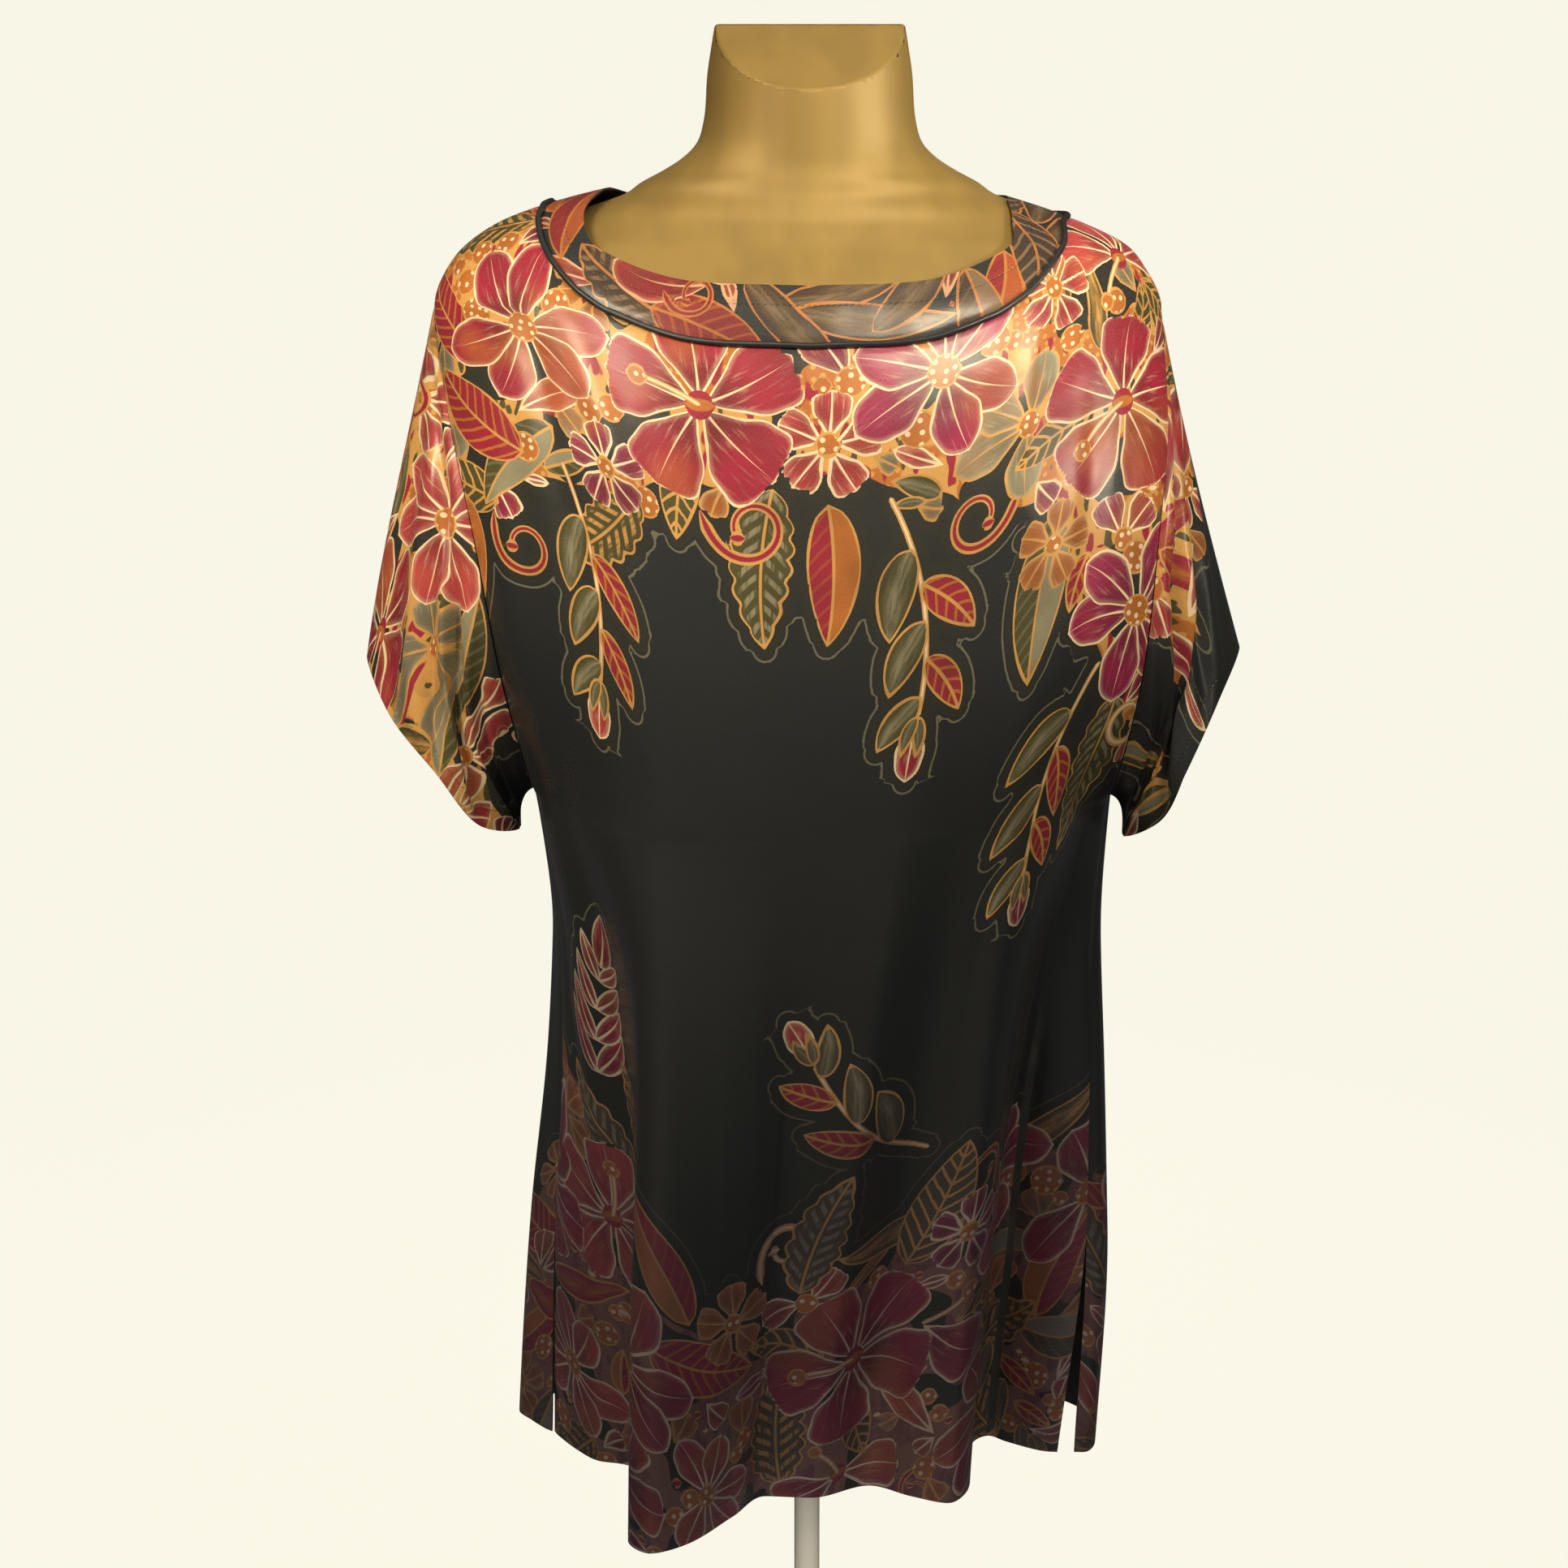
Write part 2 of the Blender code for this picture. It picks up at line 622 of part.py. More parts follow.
def cylinder(name, radius, sides, low, high, material, collection):
    """An upright cylinder on the middle line, between two heights."""
    mesh = bmesh.new()
    bmesh.ops.create_cone(
        mesh,
        cap_ends=True,
        segments=sides,
        radius1=radius,
        radius2=radius,
        depth=high - low,
    )
    data = bpy.data.meshes.new(name)
    mesh.to_mesh(data)
    mesh.free()
    data.materials.append(material)
    data.shade_smooth()
    data.set_sharp_from_angle(angle=radians(50.0))
    piece = bpy.data.objects.new(name, data)
    piece.location.z = (low + high) / 2
    collection.objects.link(piece)
    return piece


def stand(collection, material):
    """The round base on the floor and the pole up to the form's underside."""
    base = cylinder("base", BASE_RADIUS, BASE_SIDES, 0.0, BASE_HEIGHT, material, collection)
    rounding = base.modifiers.new("rounded edge", "BEVEL")
    rounding.width = BASE_EDGE
    rounding.segments = 2
    rounding.limit_method = "ANGLE"
    low = BASE_HEIGHT + REST_GAP
    high = FORM[0].height - REST_GAP
    cylinder("pole", POLE_RADIUS, POLE_SIDES, low, high, material, collection)


def build():
    """Clear the scene and model the dress, its form and the stand."""
    for piece in list(bpy.data.objects):
        bpy.data.objects.remove(piece, do_unlink=True)
    collection = bpy.data.collections.new("tunic_dress_on_form")
    bpy.context.scene.collection.children.link(collection)
    materials = {name: finish_material(name) for name in FINISHES}
    dress(collection, materials)
    dress_form(collection, materials["gold_plastic"])
    stand(collection, materials["ivory_metal"])


build()
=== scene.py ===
"""The looks of a printed satin tunic dress on its gold form: cloth, print, stand and studio."""

from collections import namedtuple
from math import cos, pi, radians, sin, tau

import bmesh
import bpy
import numpy as np
from bpy.props import FloatProperty, FloatVectorProperty, IntProperty, PointerProperty
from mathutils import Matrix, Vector


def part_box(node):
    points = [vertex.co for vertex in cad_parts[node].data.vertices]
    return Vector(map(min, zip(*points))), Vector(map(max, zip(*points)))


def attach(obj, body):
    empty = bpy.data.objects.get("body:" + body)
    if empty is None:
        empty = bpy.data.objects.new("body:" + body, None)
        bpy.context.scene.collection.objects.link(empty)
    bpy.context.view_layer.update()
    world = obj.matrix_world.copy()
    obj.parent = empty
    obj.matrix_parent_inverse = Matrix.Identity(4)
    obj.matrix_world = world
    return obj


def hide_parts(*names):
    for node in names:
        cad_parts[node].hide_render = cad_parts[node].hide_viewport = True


bl_info = {
    "name": "Tunic dress on a form",
    "version": (1, 0, 0),
    "blender": (4, 5, 0),
    "location": "View3D > Sidebar > Tunic Dress",
    "description": "Makes a printed satin tunic dress, its form and stand, and a small studio",
    "category": "Object",
}

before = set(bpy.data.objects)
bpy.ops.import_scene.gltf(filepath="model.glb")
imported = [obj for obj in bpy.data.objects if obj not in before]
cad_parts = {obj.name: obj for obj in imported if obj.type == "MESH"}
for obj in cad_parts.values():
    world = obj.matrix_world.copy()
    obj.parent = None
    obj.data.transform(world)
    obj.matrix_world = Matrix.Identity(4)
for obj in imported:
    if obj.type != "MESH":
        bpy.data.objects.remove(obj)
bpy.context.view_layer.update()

# The cut of the dress, in metres, as in the part's own tables
HEM_HEIGHT = 0.180
VENT_TOP = 0.333
UNDERARM_SHARE = 0.560
ARMHOLE_TOP_SHARE = 0.930
ARMHOLE_OPENING = radians(30.0)
VENT_SPREAD = {"front": (0.0010, -0.0060), "back": (-0.0010, 0.0053)}
VENT_REACH = 0.22
FOLDS_END = {"front": 0.640, "back": 0.680}
FOLD_SOFTNESS = 0.16
SIDE_FOLD_QUICKNESS = {"front": 1.0, "back": 0.2}
MIDDLE_SHARE = 0.15
SIDE_SHARE = 0.40


def rows(kind, *values):
    """A table of named rows."""
    return [kind(*row) for row in values]


Neckline = namedtuple("Neckline", "left right front back")
PIPING_HEIGHT = Neckline(left=0.9632, right=0.9556, front=0.8875, back=0.9330)
OPENING_HEIGHT = Neckline(left=0.9715, right=0.9665, front=0.9193, back=0.9560)

Climb = namedtuple("Climb", "angle share")
NECK_CLIMB = rows(
    Climb,
    (0.0, 0.00), (18.0, 0.07), (33.0, 0.36), (48.0, 0.72), (65.0, 0.92), (90.0, 1.00),
)

Edge = namedtuple("Edge", "height left left_depth right right_depth")
EDGES = rows(
    Edge,
    (0.180, 0.1655, 0.048, 0.1660, 0.018), (0.333, 0.1600, 0.034, 0.1755, 0.018),
    (0.440, 0.1530, 0.024, 0.1750, 0.014), (0.520, 0.1515, 0.014, 0.1740, 0.010),
    (0.600, 0.1610, 0.006, 0.1790, 0.005), (0.700, 0.1770, 0.000, 0.1905, 0.000),
    (0.776, 0.1890, 0.000, 0.1965, 0.000), (0.850, 0.2050, 0.000, 0.2030, 0.000),
    (0.905, 0.2150, 0.000, 0.2020, 0.000), (0.926, 0.2075, 0.000, 0.1925, 0.000),
    (0.940, 0.1955, 0.000, 0.1800, 0.000), (0.953, 0.1750, 0.000, 0.1525, 0.000),
    (0.960, 0.1565, 0.000, 0.1335, 0.000), (0.967, 0.1320, 0.000, 0.1110, 0.000),
    (0.974, 0.1020, 0.000, 0.0900, 0.000),
)

Girth = namedtuple("Girth", "height front back square")
GIRTHS = rows(
    Girth,
    (0.180, 0.104, 0.104, 2.4), (0.440, 0.117, 0.103, 2.4), (0.600, 0.122, 0.103, 2.5),
    (0.700, 0.127, 0.106, 2.5), (0.776, 0.122, 0.107, 2.4), (0.850, 0.109, 0.102, 2.4),
    (0.905, 0.091, 0.090, 2.3), (0.926, 0.080, 0.080, 2.2), (0.940, 0.071, 0.072, 2.2),
    (0.953, 0.062, 0.066, 2.1), (0.967, 0.056, 0.061, 2.1), (0.974, 0.053, 0.059, 2.1),
)

Hem = namedtuple("Hem", "across depth")
HEMS = {
    "front": rows(
        Hem,
        (-0.1655, 0.048), (-0.1466, 0.021), (-0.1332, 0.007), (-0.1170, 0.002), (-0.1040, -0.006),
        (-0.0985, -0.030), (-0.1040, -0.070), (-0.1080, -0.097), (-0.0940, -0.113),
        (-0.0740, -0.103), (-0.0455, -0.067), (-0.0260, -0.041), (0.0025, -0.043),
        (0.0385, -0.027), (0.0640, -0.041), (0.0865, -0.050), (0.0985, -0.036), (0.1035, 0.004),
        (0.1080, 0.034), (0.1180, 0.042), (0.1290, 0.034), (0.1530, 0.021), (0.1660, 0.018),
    ),
    "back": rows(
        Hem,
        (-0.1655, 0.048), (-0.1790, 0.064), (-0.1895, 0.080), (-0.1800, 0.103), (-0.1400, 0.108),
        (-0.0980, 0.126), (-0.0480, 0.118), (-0.0050, 0.100), (0.0420, 0.116), (0.0860, 0.127),
        (0.1300, 0.108), (0.1680, 0.098), (0.1865, 0.070), (0.1850, 0.036), (0.1765, 0.020),
        (0.1660, 0.018),
    ),
}

Cuff = namedtuple("Cuff", "turn across depth height")
CUFFS = {
    "left": rows(
        Cuff,
        (0.000, -0.2610, 0.000, 0.7010), (0.125, -0.2440, -0.036, 0.6720),
        (0.250, -0.2170, -0.055, 0.6430), (0.375, -0.1930, -0.040, 0.6070),
        (0.500, -0.1720, 0.000, 0.5960), (0.625, -0.1900, 0.036, 0.6060),
        (0.750, -0.2130, 0.052, 0.6340), (0.875, -0.2410, 0.038, 0.6700),
    ),
    "right": rows(
        Cuff,
        (0.000, 0.2544, 0.000, 0.7065), (0.125, 0.2370, -0.036, 0.6780),
        (0.250, 0.2180, -0.050, 0.6400), (0.375, 0.2060, -0.034, 0.6080),
        (0.500, 0.1880, 0.000, 0.5910), (0.625, 0.2090, 0.036, 0.6060),
        (0.750, 0.2220, 0.054, 0.6320), (0.875, 0.2400, 0.042, 0.6720),
    ),
}
SLEEVE_START_TOP = radians(12.0)
SLEEVE_START_UNDERARM = radians(78.0)
SLEEVE_FLARE = {"left": 0.16, "right": 0.30}
SLEEVE_HOLLOW = {"left": 0.004, "right": 0.012}

FormSection = namedtuple("FormSection", "height half_width front back square")
FORM = rows(
    FormSection,
    (0.450, 0.112, 0.056, 0.078, 2.2), (0.500, 0.113, 0.066, 0.078, 2.2),
    (0.560, 0.117, 0.079, 0.078, 2.2), (0.600, 0.125, 0.090, 0.080, 2.2),
    (0.650, 0.138, 0.106, 0.087, 2.3), (0.700, 0.149, 0.119, 0.094, 2.3),
    (0.750, 0.159, 0.118, 0.099, 2.3), (0.800, 0.170, 0.111, 0.099, 2.3),
    (0.850, 0.183, 0.102, 0.095, 2.3), (0.885, 0.1915, 0.0925, 0.0890, 2.3),
    (0.905, 0.1935, 0.0860, 0.0840, 2.3), (0.918, 0.1915, 0.0805, 0.0795, 2.2),
    (0.929, 0.1845, 0.0730, 0.0735, 2.2), (0.940, 0.1730, 0.0655, 0.0670, 2.2),
    (0.947, 0.1590, 0.0615, 0.0645, 2.1), (0.953, 0.1450, 0.0580, 0.0620, 2.1),
    (0.960, 0.1270, 0.0555, 0.0595, 2.1), (0.967, 0.1060, 0.0528, 0.0578, 2.1),
    (0.974, 0.0955, 0.0515, 0.0570, 2.1), (0.980, 0.0840, 0.0505, 0.0560, 2.0),
    (0.987, 0.0727, 0.0500, 0.0550, 2.0), (0.995, 0.0645, 0.0500, 0.0540, 2.0),
    (1.007, 0.0603, 0.0500, 0.0535, 2.0), (1.034, 0.0578, 0.0495, 0.0525, 2.0),
    (1.0605, 0.0535, 0.0480, 0.0510, 2.0),
)
NECK_CUT_FRONT = (-0.0490, 1.0245)
NECK_CUT_BACK = (-0.0060, 1.0605)

# The edges of a piece, the distance from them over which creases fade, and grooves along seams
EVERY_EDGE = ("bottom", "end", "start", "top")
CALM_EDGE = 0.012
CREASE_POINTS = 12
SEAM_DEPTH = 0.0009
SEAM_WIDTH = 0.0034

# The piping: how deep it sits in its seam, and how its corners at the shoulders are rounded
PIPING_RADIUS = 0.0017
PIPING_SUNK = 0.0011
PIPING_SIDES = 14
CORNER_REACH = 9
CORNER_ROUNDS = 14

# The form's mesh: its rings of points, each as lowest height, highest height and number of rings
FORM_RINGS = ((0.450, 0.88, 60), (0.88, 1.0605, 90))
FORM_SIDES = 144
RIM_BEVEL = 0.0018

# The stand: the base as radius and height pairs, and the pole
BASE_PROFILE = [
    (0.144, 0.0), (0.148, 0.0006), (0.150, 0.003), (0.1495, 0.006), (0.1475, 0.0085),
    (0.144, 0.0100), (0.138, 0.0108), (0.110, 0.0113), (0.030, 0.0118), (0.010, 0.0120),
]
POLE_RADIUS = 0.0080
POLE_END_RADIUS = 0.0074
POLE_BEVEL = 0.0008

# Fine meshes of the cloth, and every how many of their lines the inside keeps
PANEL_COLUMNS = 240
PANEL_ROWS = 336
SLEEVE_TURNS = 248
SLEEVE_ROWS = 80
BAND_COLUMNS = 200
BAND_ROWS = 20
LINING_STEP = 4


def cubic_through(places, values, where):
    """Monotone cubic through rising places, read at any places, with no overshoot."""
    places = np.asarray(places, float)
    values = np.asarray(values, float)
    where = np.clip(np.asarray(where, float), places[0], places[-1])
    steps = np.diff(places)
    slopes = np.diff(values) / steps
    tangents = np.concatenate([slopes[:1], (slopes[:-1] + slopes[1:]) / 2, slopes[-1:]])
    turning = np.concatenate([[False], slopes[:-1] * slopes[1:] <= 0, [False]])
    tangents[turning] = 0.0
    limit = 3 * np.minimum(np.abs(np.r_[slopes[:1], slopes]), np.abs(np.r_[slopes, slopes[-1:]]))
    tangents = np.clip(tangents, -limit, limit)
    index = np.clip(np.searchsorted(places, where, side="right") - 1, 0, len(steps) - 1)
    step = steps[index]
    part = (where - places[index]) / step
    return (
        (1 + 2 * part) * (1 - part) ** 2 * values[index]
        + part**2 * (3 - 2 * part) * values[index + 1]
        + part * (1 - part) ** 2 * step * tangents[index]
        + part**2 * (part - 1) * step * tangents[index + 1]
    )


def column(table, name):
    """One named column of a table of named rows."""
    return [getattr(row, name) for row in table]


def read(table, name, where):
    """A table's named column at any value of its first column."""
    return cubic_through(column(table, table[0]._fields[0]), column(table, name), where)


def neck_height(line, side, across):
    """Height of a neckline for places across a panel, from -1 at its left edge to 1."""
    low = getattr(line, side)
    high = line.left + (line.right - line.left) * (across + 1) / 2
    return low + (high - low) * read(NECK_CLIMB, "share", np.abs(across) * 90.0)


def armhole_share(across, height):
    """How far up the armhole a height lies, from 0 at the underarm to 1 at its top."""
    top = PIPING_HEIGHT.left + (PIPING_HEIGHT.right - PIPING_HEIGHT.left) * (across + 1) / 2
    low = HEM_HEIGHT + UNDERARM_SHARE * (top - HEM_HEIGHT)
    high = HEM_HEIGHT + ARMHOLE_TOP_SHARE * (top - HEM_HEIGHT)
    return np.clip((height - low) / (high - low), 0.0, 1.0)


def hem_point(side, across):
    """The hem's plan point at a share of its length, from -1 at the left seam to 1."""
    x = np.array(column(HEMS[side], "across"))
    y = np.array(column(HEMS[side], "depth"))
    lengths = np.concatenate([[0.0], np.cumsum(np.hypot(np.diff(x), np.diff(y)))])
    place = (across + 1) / 2 * lengths[-1]
    return cubic_through(lengths, x, place), cubic_through(lengths, y, place)


def cloth_point(side, across, height):
    """Outer point of the body's cloth at a share across the panel and a height."""
    left_part = (1 - across) / 2
    edge_depth = (
        read(EDGES, "left_depth", height) * left_part
        + read(EDGES, "right_depth", height) * (1 - left_part)
    )
    half_width = np.where(across < 0, read(EDGES, "left", height), read(EDGES, "right", height))
    square = 2 / read(GIRTHS, "square", height)
    opening = ARMHOLE_OPENING * np.sin(pi * armhole_share(across, height)) ** 0.7
    reach = pi / 2 - opening
    angle = across * reach
    reach_x = half_width / np.sin(reach) ** square
    middle = read(GIRTHS, side, height) * (-1 if side == "front" else 1)
    x = reach_x * np.sign(angle) * np.abs(np.sin(angle)) ** square
    y = edge_depth + (middle - edge_depth) * np.abs(np.cos(angle)) ** square

    fold = (FOLDS_END[side] - height) / (FOLDS_END[side] - HEM_HEIGHT)
    fold = np.clip((fold + np.sqrt(fold**2 + FOLD_SOFTNESS**2)) / 2, 0.0, 1.0)
    aside = np.clip((np.abs(across) - MIDDLE_SHARE) / (SIDE_SHARE - MIDDLE_SHARE), 0.0, 1.0)
    fold = 1 - (1 - fold) ** (1 + SIDE_FOLD_QUICKNESS[side] * aside)
    hem_x, hem_y = hem_point(side, across)
    hem_width = np.where(across < 0, EDGES[0].left, EDGES[0].right)
    hem_depth = EDGES[0].left_depth * left_part + EDGES[0].right_depth * (1 - left_part)
    x = x + fold * (hem_x * half_width / hem_width - x)
    y = y + fold * (hem_y - hem_depth + edge_depth - y)

    vent = np.clip((VENT_TOP - height) / (VENT_TOP - HEM_HEIGHT), 0.0, 1.0)
    near_edge = np.clip(1 - (1 - np.abs(across)) / VENT_REACH, 0.0, 1.0) ** 2
    left_spread, right_spread = VENT_SPREAD[side]
    x = x + vent * near_edge * np.where(across < 0, left_spread, right_spread)
    return np.stack([x, y, height + 0 * x], axis=-1)


def body_surface(side, lower, upper, columns, steps):
    """Outer points of a side of the body from one neckline, or the hem with None, to another."""
    across = np.linspace(-1.0, 1.0, columns + 1)[None, :]
    if side == "back":
        across = across[:, ::-1]
    low = neck_height(lower, side, across) if lower else HEM_HEIGHT
    high = neck_height(upper, side, across)
    height = low + np.linspace(0.0, 1.0, steps + 1)[:, None] * (high - low)
    return cloth_point(side, across + 0 * height, height)


def armhole_line(side_name, turns):
    """The armhole's points for turns round it, from its top down the front and up the back."""
    across = -1.0 if side_name == "left" else 1.0
    top = getattr(PIPING_HEIGHT, side_name)
    down = 1 - np.abs(1 - 2 * turns)
    share = ARMHOLE_TOP_SHARE + (UNDERARM_SHARE - ARMHOLE_TOP_SHARE) * down
    height = HEM_HEIGHT + share * (top - HEM_HEIGHT)
    front = cloth_point("front", across + 0 * height, height)
    back = cloth_point("back", across + 0 * height, height)
    return np.where((turns <= 0.5)[:, None], front, back)


def cuff_line(side_name, turns):
    """The sleeve hem's points at the given turns, closed round on itself."""
    table = CUFFS[side_name]
    closed = table[-2:] + table + table[:2]
    places = np.array(column(closed, "turn"))
    places[:2] -= 1
    places[-2:] += 1
    lines = [cubic_through(places, column(closed, name), turns) for name in Cuff._fields[1:]]
    return np.stack(lines, axis=-1)


def sleeve_surface(side_name):
    """Outer points of a sleeve, from the armhole out to its hem."""
    side = -1 if side_name == "left" else 1
    turns = np.linspace(-0.5, 0.5, SLEEVE_TURNS + 1) % 1.0
    start = armhole_line(side_name, turns)
    end = cuff_line(side_name, turns)
    down_share = (1 - np.cos(tau * turns)) / 2
    lean = SLEEVE_START_TOP + (SLEEVE_START_UNDERARM - SLEEVE_START_TOP) * down_share
    leaving = np.stack([side * np.sin(lean), 0 * lean, -np.cos(lean)], axis=-1)
    flare = SLEEVE_FLARE[side_name] * (1 - down_share)
    falling = np.stack([side * flare, 0 * flare, 0 * flare - 1.0], axis=-1)
    length = np.linalg.norm(end - start, axis=-1, keepdims=True)
    frontness = np.clip(np.sin(tau * turns), 0.0, 1.0)
    part = np.linspace(0.0, 1.0, SLEEVE_ROWS + 1)[:, None, None]
    grid = (
        (1 + 2 * part) * (1 - part) ** 2 * start
        + part**2 * (3 - 2 * part) * end
        + part * (1 - part) ** 2 * leaving * length
        + part**2 * (part - 1) * falling * length
    )
    grid[..., 1] += SLEEVE_HOLLOW[side_name] * frontness * np.sin(pi * part[..., 0]) ** 2
    return grid if side_name == "right" else grid[:, ::-1]


def unit(vectors):
    """Vectors scaled to a length of 1."""
    return vectors / np.maximum(np.linalg.norm(vectors, axis=-1, keepdims=True), 1e-12)


def surface_normals(grid):
    """Outward unit normals of a surface's points."""
    return unit(np.cross(np.gradient(grid, axis=1), np.gradient(grid, axis=0)))


def run_along(points, axis):
    """Length from the first point to each one, along an axis of a grid."""
    steps = np.linalg.norm(np.diff(points, axis=axis), axis=-1)
    return np.cumsum(np.insert(steps, 0, 0.0, axis=axis), axis=axis)


def flat_places(grid, middle, level):
    """Places on the flat cut: the length along each row from a column, and up from a row."""
    across, up = run_along(grid, 1), run_along(grid, 0)
    return np.stack([across - across[:, middle : middle + 1], up - up[level : level + 1]], axis=-1)


# The print. A stroke is a line with widths, a kind and a tone, and a motif is a few strokes, the
# uppermost first. They lie in layers, and the shader shows the uppermost one at each point.
Stroke = namedtuple("Stroke", "points widths kind tone")
VEINED, PETAL, TOOTHED, SPLIT, DOTTED, LIGHT, LINE = range(7)
CRIMSON, PLUM, ROSE, AMBER, RUST, LEAF, MOSS, GOLD, TWINE, SAND = range(10)
LAYERS = 9
BARE_MOTIF = (0.0, 0.0, -1.0)
BARE_LOOK = (-1.0, 0.0, 0.0)

# Distances on the cut: the free gap round a motif, how deep in a motif nothing else needs to show,
# how far outside its outline a stroke still counts, what is beyond all motifs, and search sizes
MOTIF_GAP = 0.0036
BURIED = 0.0042
THIN = 0.0012
FAR = 0.05
MARGIN = 0.012
BIN = 0.025

# Sizes within the motifs and patterns
LINE_POINTS = 17
PETAL_POINTS = 29
TENDRIL_POINTS = 45
PETAL_ORDER = (0, 2, 4, 1, 3)
COLLAR_SPOTS = 8
TOOTH = 0.012
STEM = 0.0016
FINE_STEM = 0.0011
VEIN_SPACING = 0.0088
SPOT_SPACING = 0.0066
STITCH_LENGTH = 0.0034
TWILL = 0.0011

# The echo line on the black: its distance from the motifs, and the small gaps that it stays out of
ECHO_DISTANCE = 0.0066
GAP_CELLS = 7
SMALL_GAP = 0.0135
NO_ECHO = 0.0050

# How far the crowded print reaches on the sleeves and the neck band, and the painted shade that
# darkens the band's print all over
CUT_LEVEL = 0.70
SLEEVE_PRINT_LENGTH = {"left": 0.5, "right": 0.064}
SLEEVE_PRINT_WIDTH = 0.180
BAND_INSIDE = 0.0025
BAND_GROUND = 0.004
BAND_PAINTED_SHADE = (0.66, 0.48, 0.44)

# How the crowded parts are filled, first with large motifs and then with many small ones
SLEEVE_SEED = 5
BAND_SEED = 20
LARGE_SPACING = 0.098
LARGE_JITTER = 0.28
LARGE_INSIDE = 0.025
SMALL_INSIDE = 0.002
FILL_ATTEMPTS = 15000

# Least share of a stroke that must still be free: placed motifs, then large and small fillers
PLACED_SHOWING = 0.35
LARGE_SHOWING = 0.60
SMALL_SHOWING = 0.50


def line_from(place, heading, length, bend, points=LINE_POINTS, quickening=1.0):
    """Points of a line from a place at a heading, which turns by bend on its way."""
    share = np.linspace(0.0, 1.0, points)
    angle = heading + bend * share**quickening
    middle = (angle[1:] + angle[:-1]) / 2
    step = length / (points - 1)
    ways = np.insert(np.stack([np.cos(middle), np.sin(middle)], axis=-1), 0, 0.0, axis=0)
    return np.asarray(place) + np.cumsum(ways, axis=0) * step


def swell(points, start, end):
    """Shares of the full width along a line that starts and ends in a point."""
    share = np.linspace(0.0, 1.0, points)
    width = share**start * (1 - share) ** end
    return width / width.max()


def leaf(place, heading, length, width, bend, kind, tone, teeth=0):
    """A pointed leaf, with scalloped edges where it has teeth."""
    points = 6 * teeth + 1 if teeth else LINE_POINTS
    line = line_from(place, heading, length, bend, points)
    widths = width / 2 * swell(points, 0.60, 0.85)
    if teeth:
        wave = np.abs(np.sin(pi * teeth * np.linspace(0.0, 1.0, points)))
        widths = widths * (0.84 + 0.20 * wave)
    return Stroke(line, widths, kind, tone)


def petal(place, heading, length, width, bend, tone, tip=0.72):
    """A petal that is widest near its middle, and rounder the smaller its tip."""
    line = line_from(place, heading, length, bend, PETAL_POINTS)
    ripple = 1 + 0.04 * np.sin(5 * pi * np.linspace(0.0, 1.0, PETAL_POINTS))
    return Stroke(line, width / 2 * swell(PETAL_POINTS, 1.15, tip) * ripple, PETAL, tone)


def disc(place, radius, kind, tone):
    """A round spot."""
    line = line_from((place[0] - radius, place[1]), 0.0, 2 * radius, 0.0)
    share = np.linspace(-1.0, 1.0, LINE_POINTS)
    return Stroke(line, radius * np.sqrt(1 - share**2), kind, tone)


def step_from(place, angle, length):
    """The place at a length and angle from another."""
    return np.array([place[0] + length * cos(angle), place[1] + length * sin(angle)])


# Motifs. Each takes its place, heading, size, bend and tone, and gives its strokes.
def lily(place, heading, size, bend, tone):
    """Six pointed petals, three over three, round a dotted heart, with a dotted collar."""
    strokes = [disc(place, size * 0.20, DOTTED, AMBER)]
    for start in (0, 1):
        for number in range(start, 6, 2):
            angle = heading + tau * (number + 0.12 * (-1) ** number) / 6
            foot = step_from(place, angle, 0.06 * size)
            length = size * (0.98 if number % 3 else 1.12)
            strokes.append(petal(foot, angle - bend / 2, length, size * 0.64, bend, tone))
    return strokes + collar(place, heading, size * 0.66, size * 0.22)


def hibiscus(place, heading, size, bend, tone):
    """Five broad round petals with a stamen column, and leaves behind them."""
    stamens = line_from(place, heading + 0.9, size * 0.70, 0.5, 9)
    strokes = [disc(stamens[-1], size * 0.12, DOTTED, AMBER)]
    strokes.append(Stroke(stamens, np.full(9, STEM), LINE, GOLD))
    strokes.append(disc(place, size * 0.15, LINE, RUST))
    for number in PETAL_ORDER:
        angle = heading + tau * number / 5
        foot = step_from(place, angle, 0.04 * size)
        wide = size * (0.92 if number % 2 else 0.84)
        strokes.append(petal(foot, angle - bend / 2, size, wide, bend, tone, 0.36))
    for number in range(3):
        angle = heading + 0.6 + tau * number / 3
        foot = step_from(place, angle, 0.45 * size)
        strokes.append(leaf(foot, angle, size * 1.02, size * 0.44, 0.3, VEINED, LEAF))
    return strokes


def blossom(place, heading, size, bend, tone):
    """Five small round petals round a dotted heart."""
    strokes = [disc(place, size * 0.26, DOTTED, AMBER)]
    for number in PETAL_ORDER:
        angle = heading + tau * number / 5
        foot = step_from(place, angle, 0.10 * size)
        strokes.append(petal(foot, angle, size * 0.95, size * 0.84, bend / 2, tone, 0.40))
    return strokes


def collar(place, heading, reach, radius):
    """Dotted spots in a ring."""
    angles = heading + (np.arange(COLLAR_SPOTS) + 0.5) * tau / COLLAR_SPOTS
    return [disc(step_from(place, angle, reach), radius, DOTTED, AMBER) for angle in angles]


def bud(place, heading, size, bend, tone):
    """A closed petal between two small leaves."""
    sides = [
        leaf(place, heading + 0.42 * side, size * 0.66, size * 0.22, -0.5 * side, LIGHT, MOSS)
        for side in (-1, 1)
    ]
    return sides + [petal(place, heading, size, size * 0.46, bend, tone)]


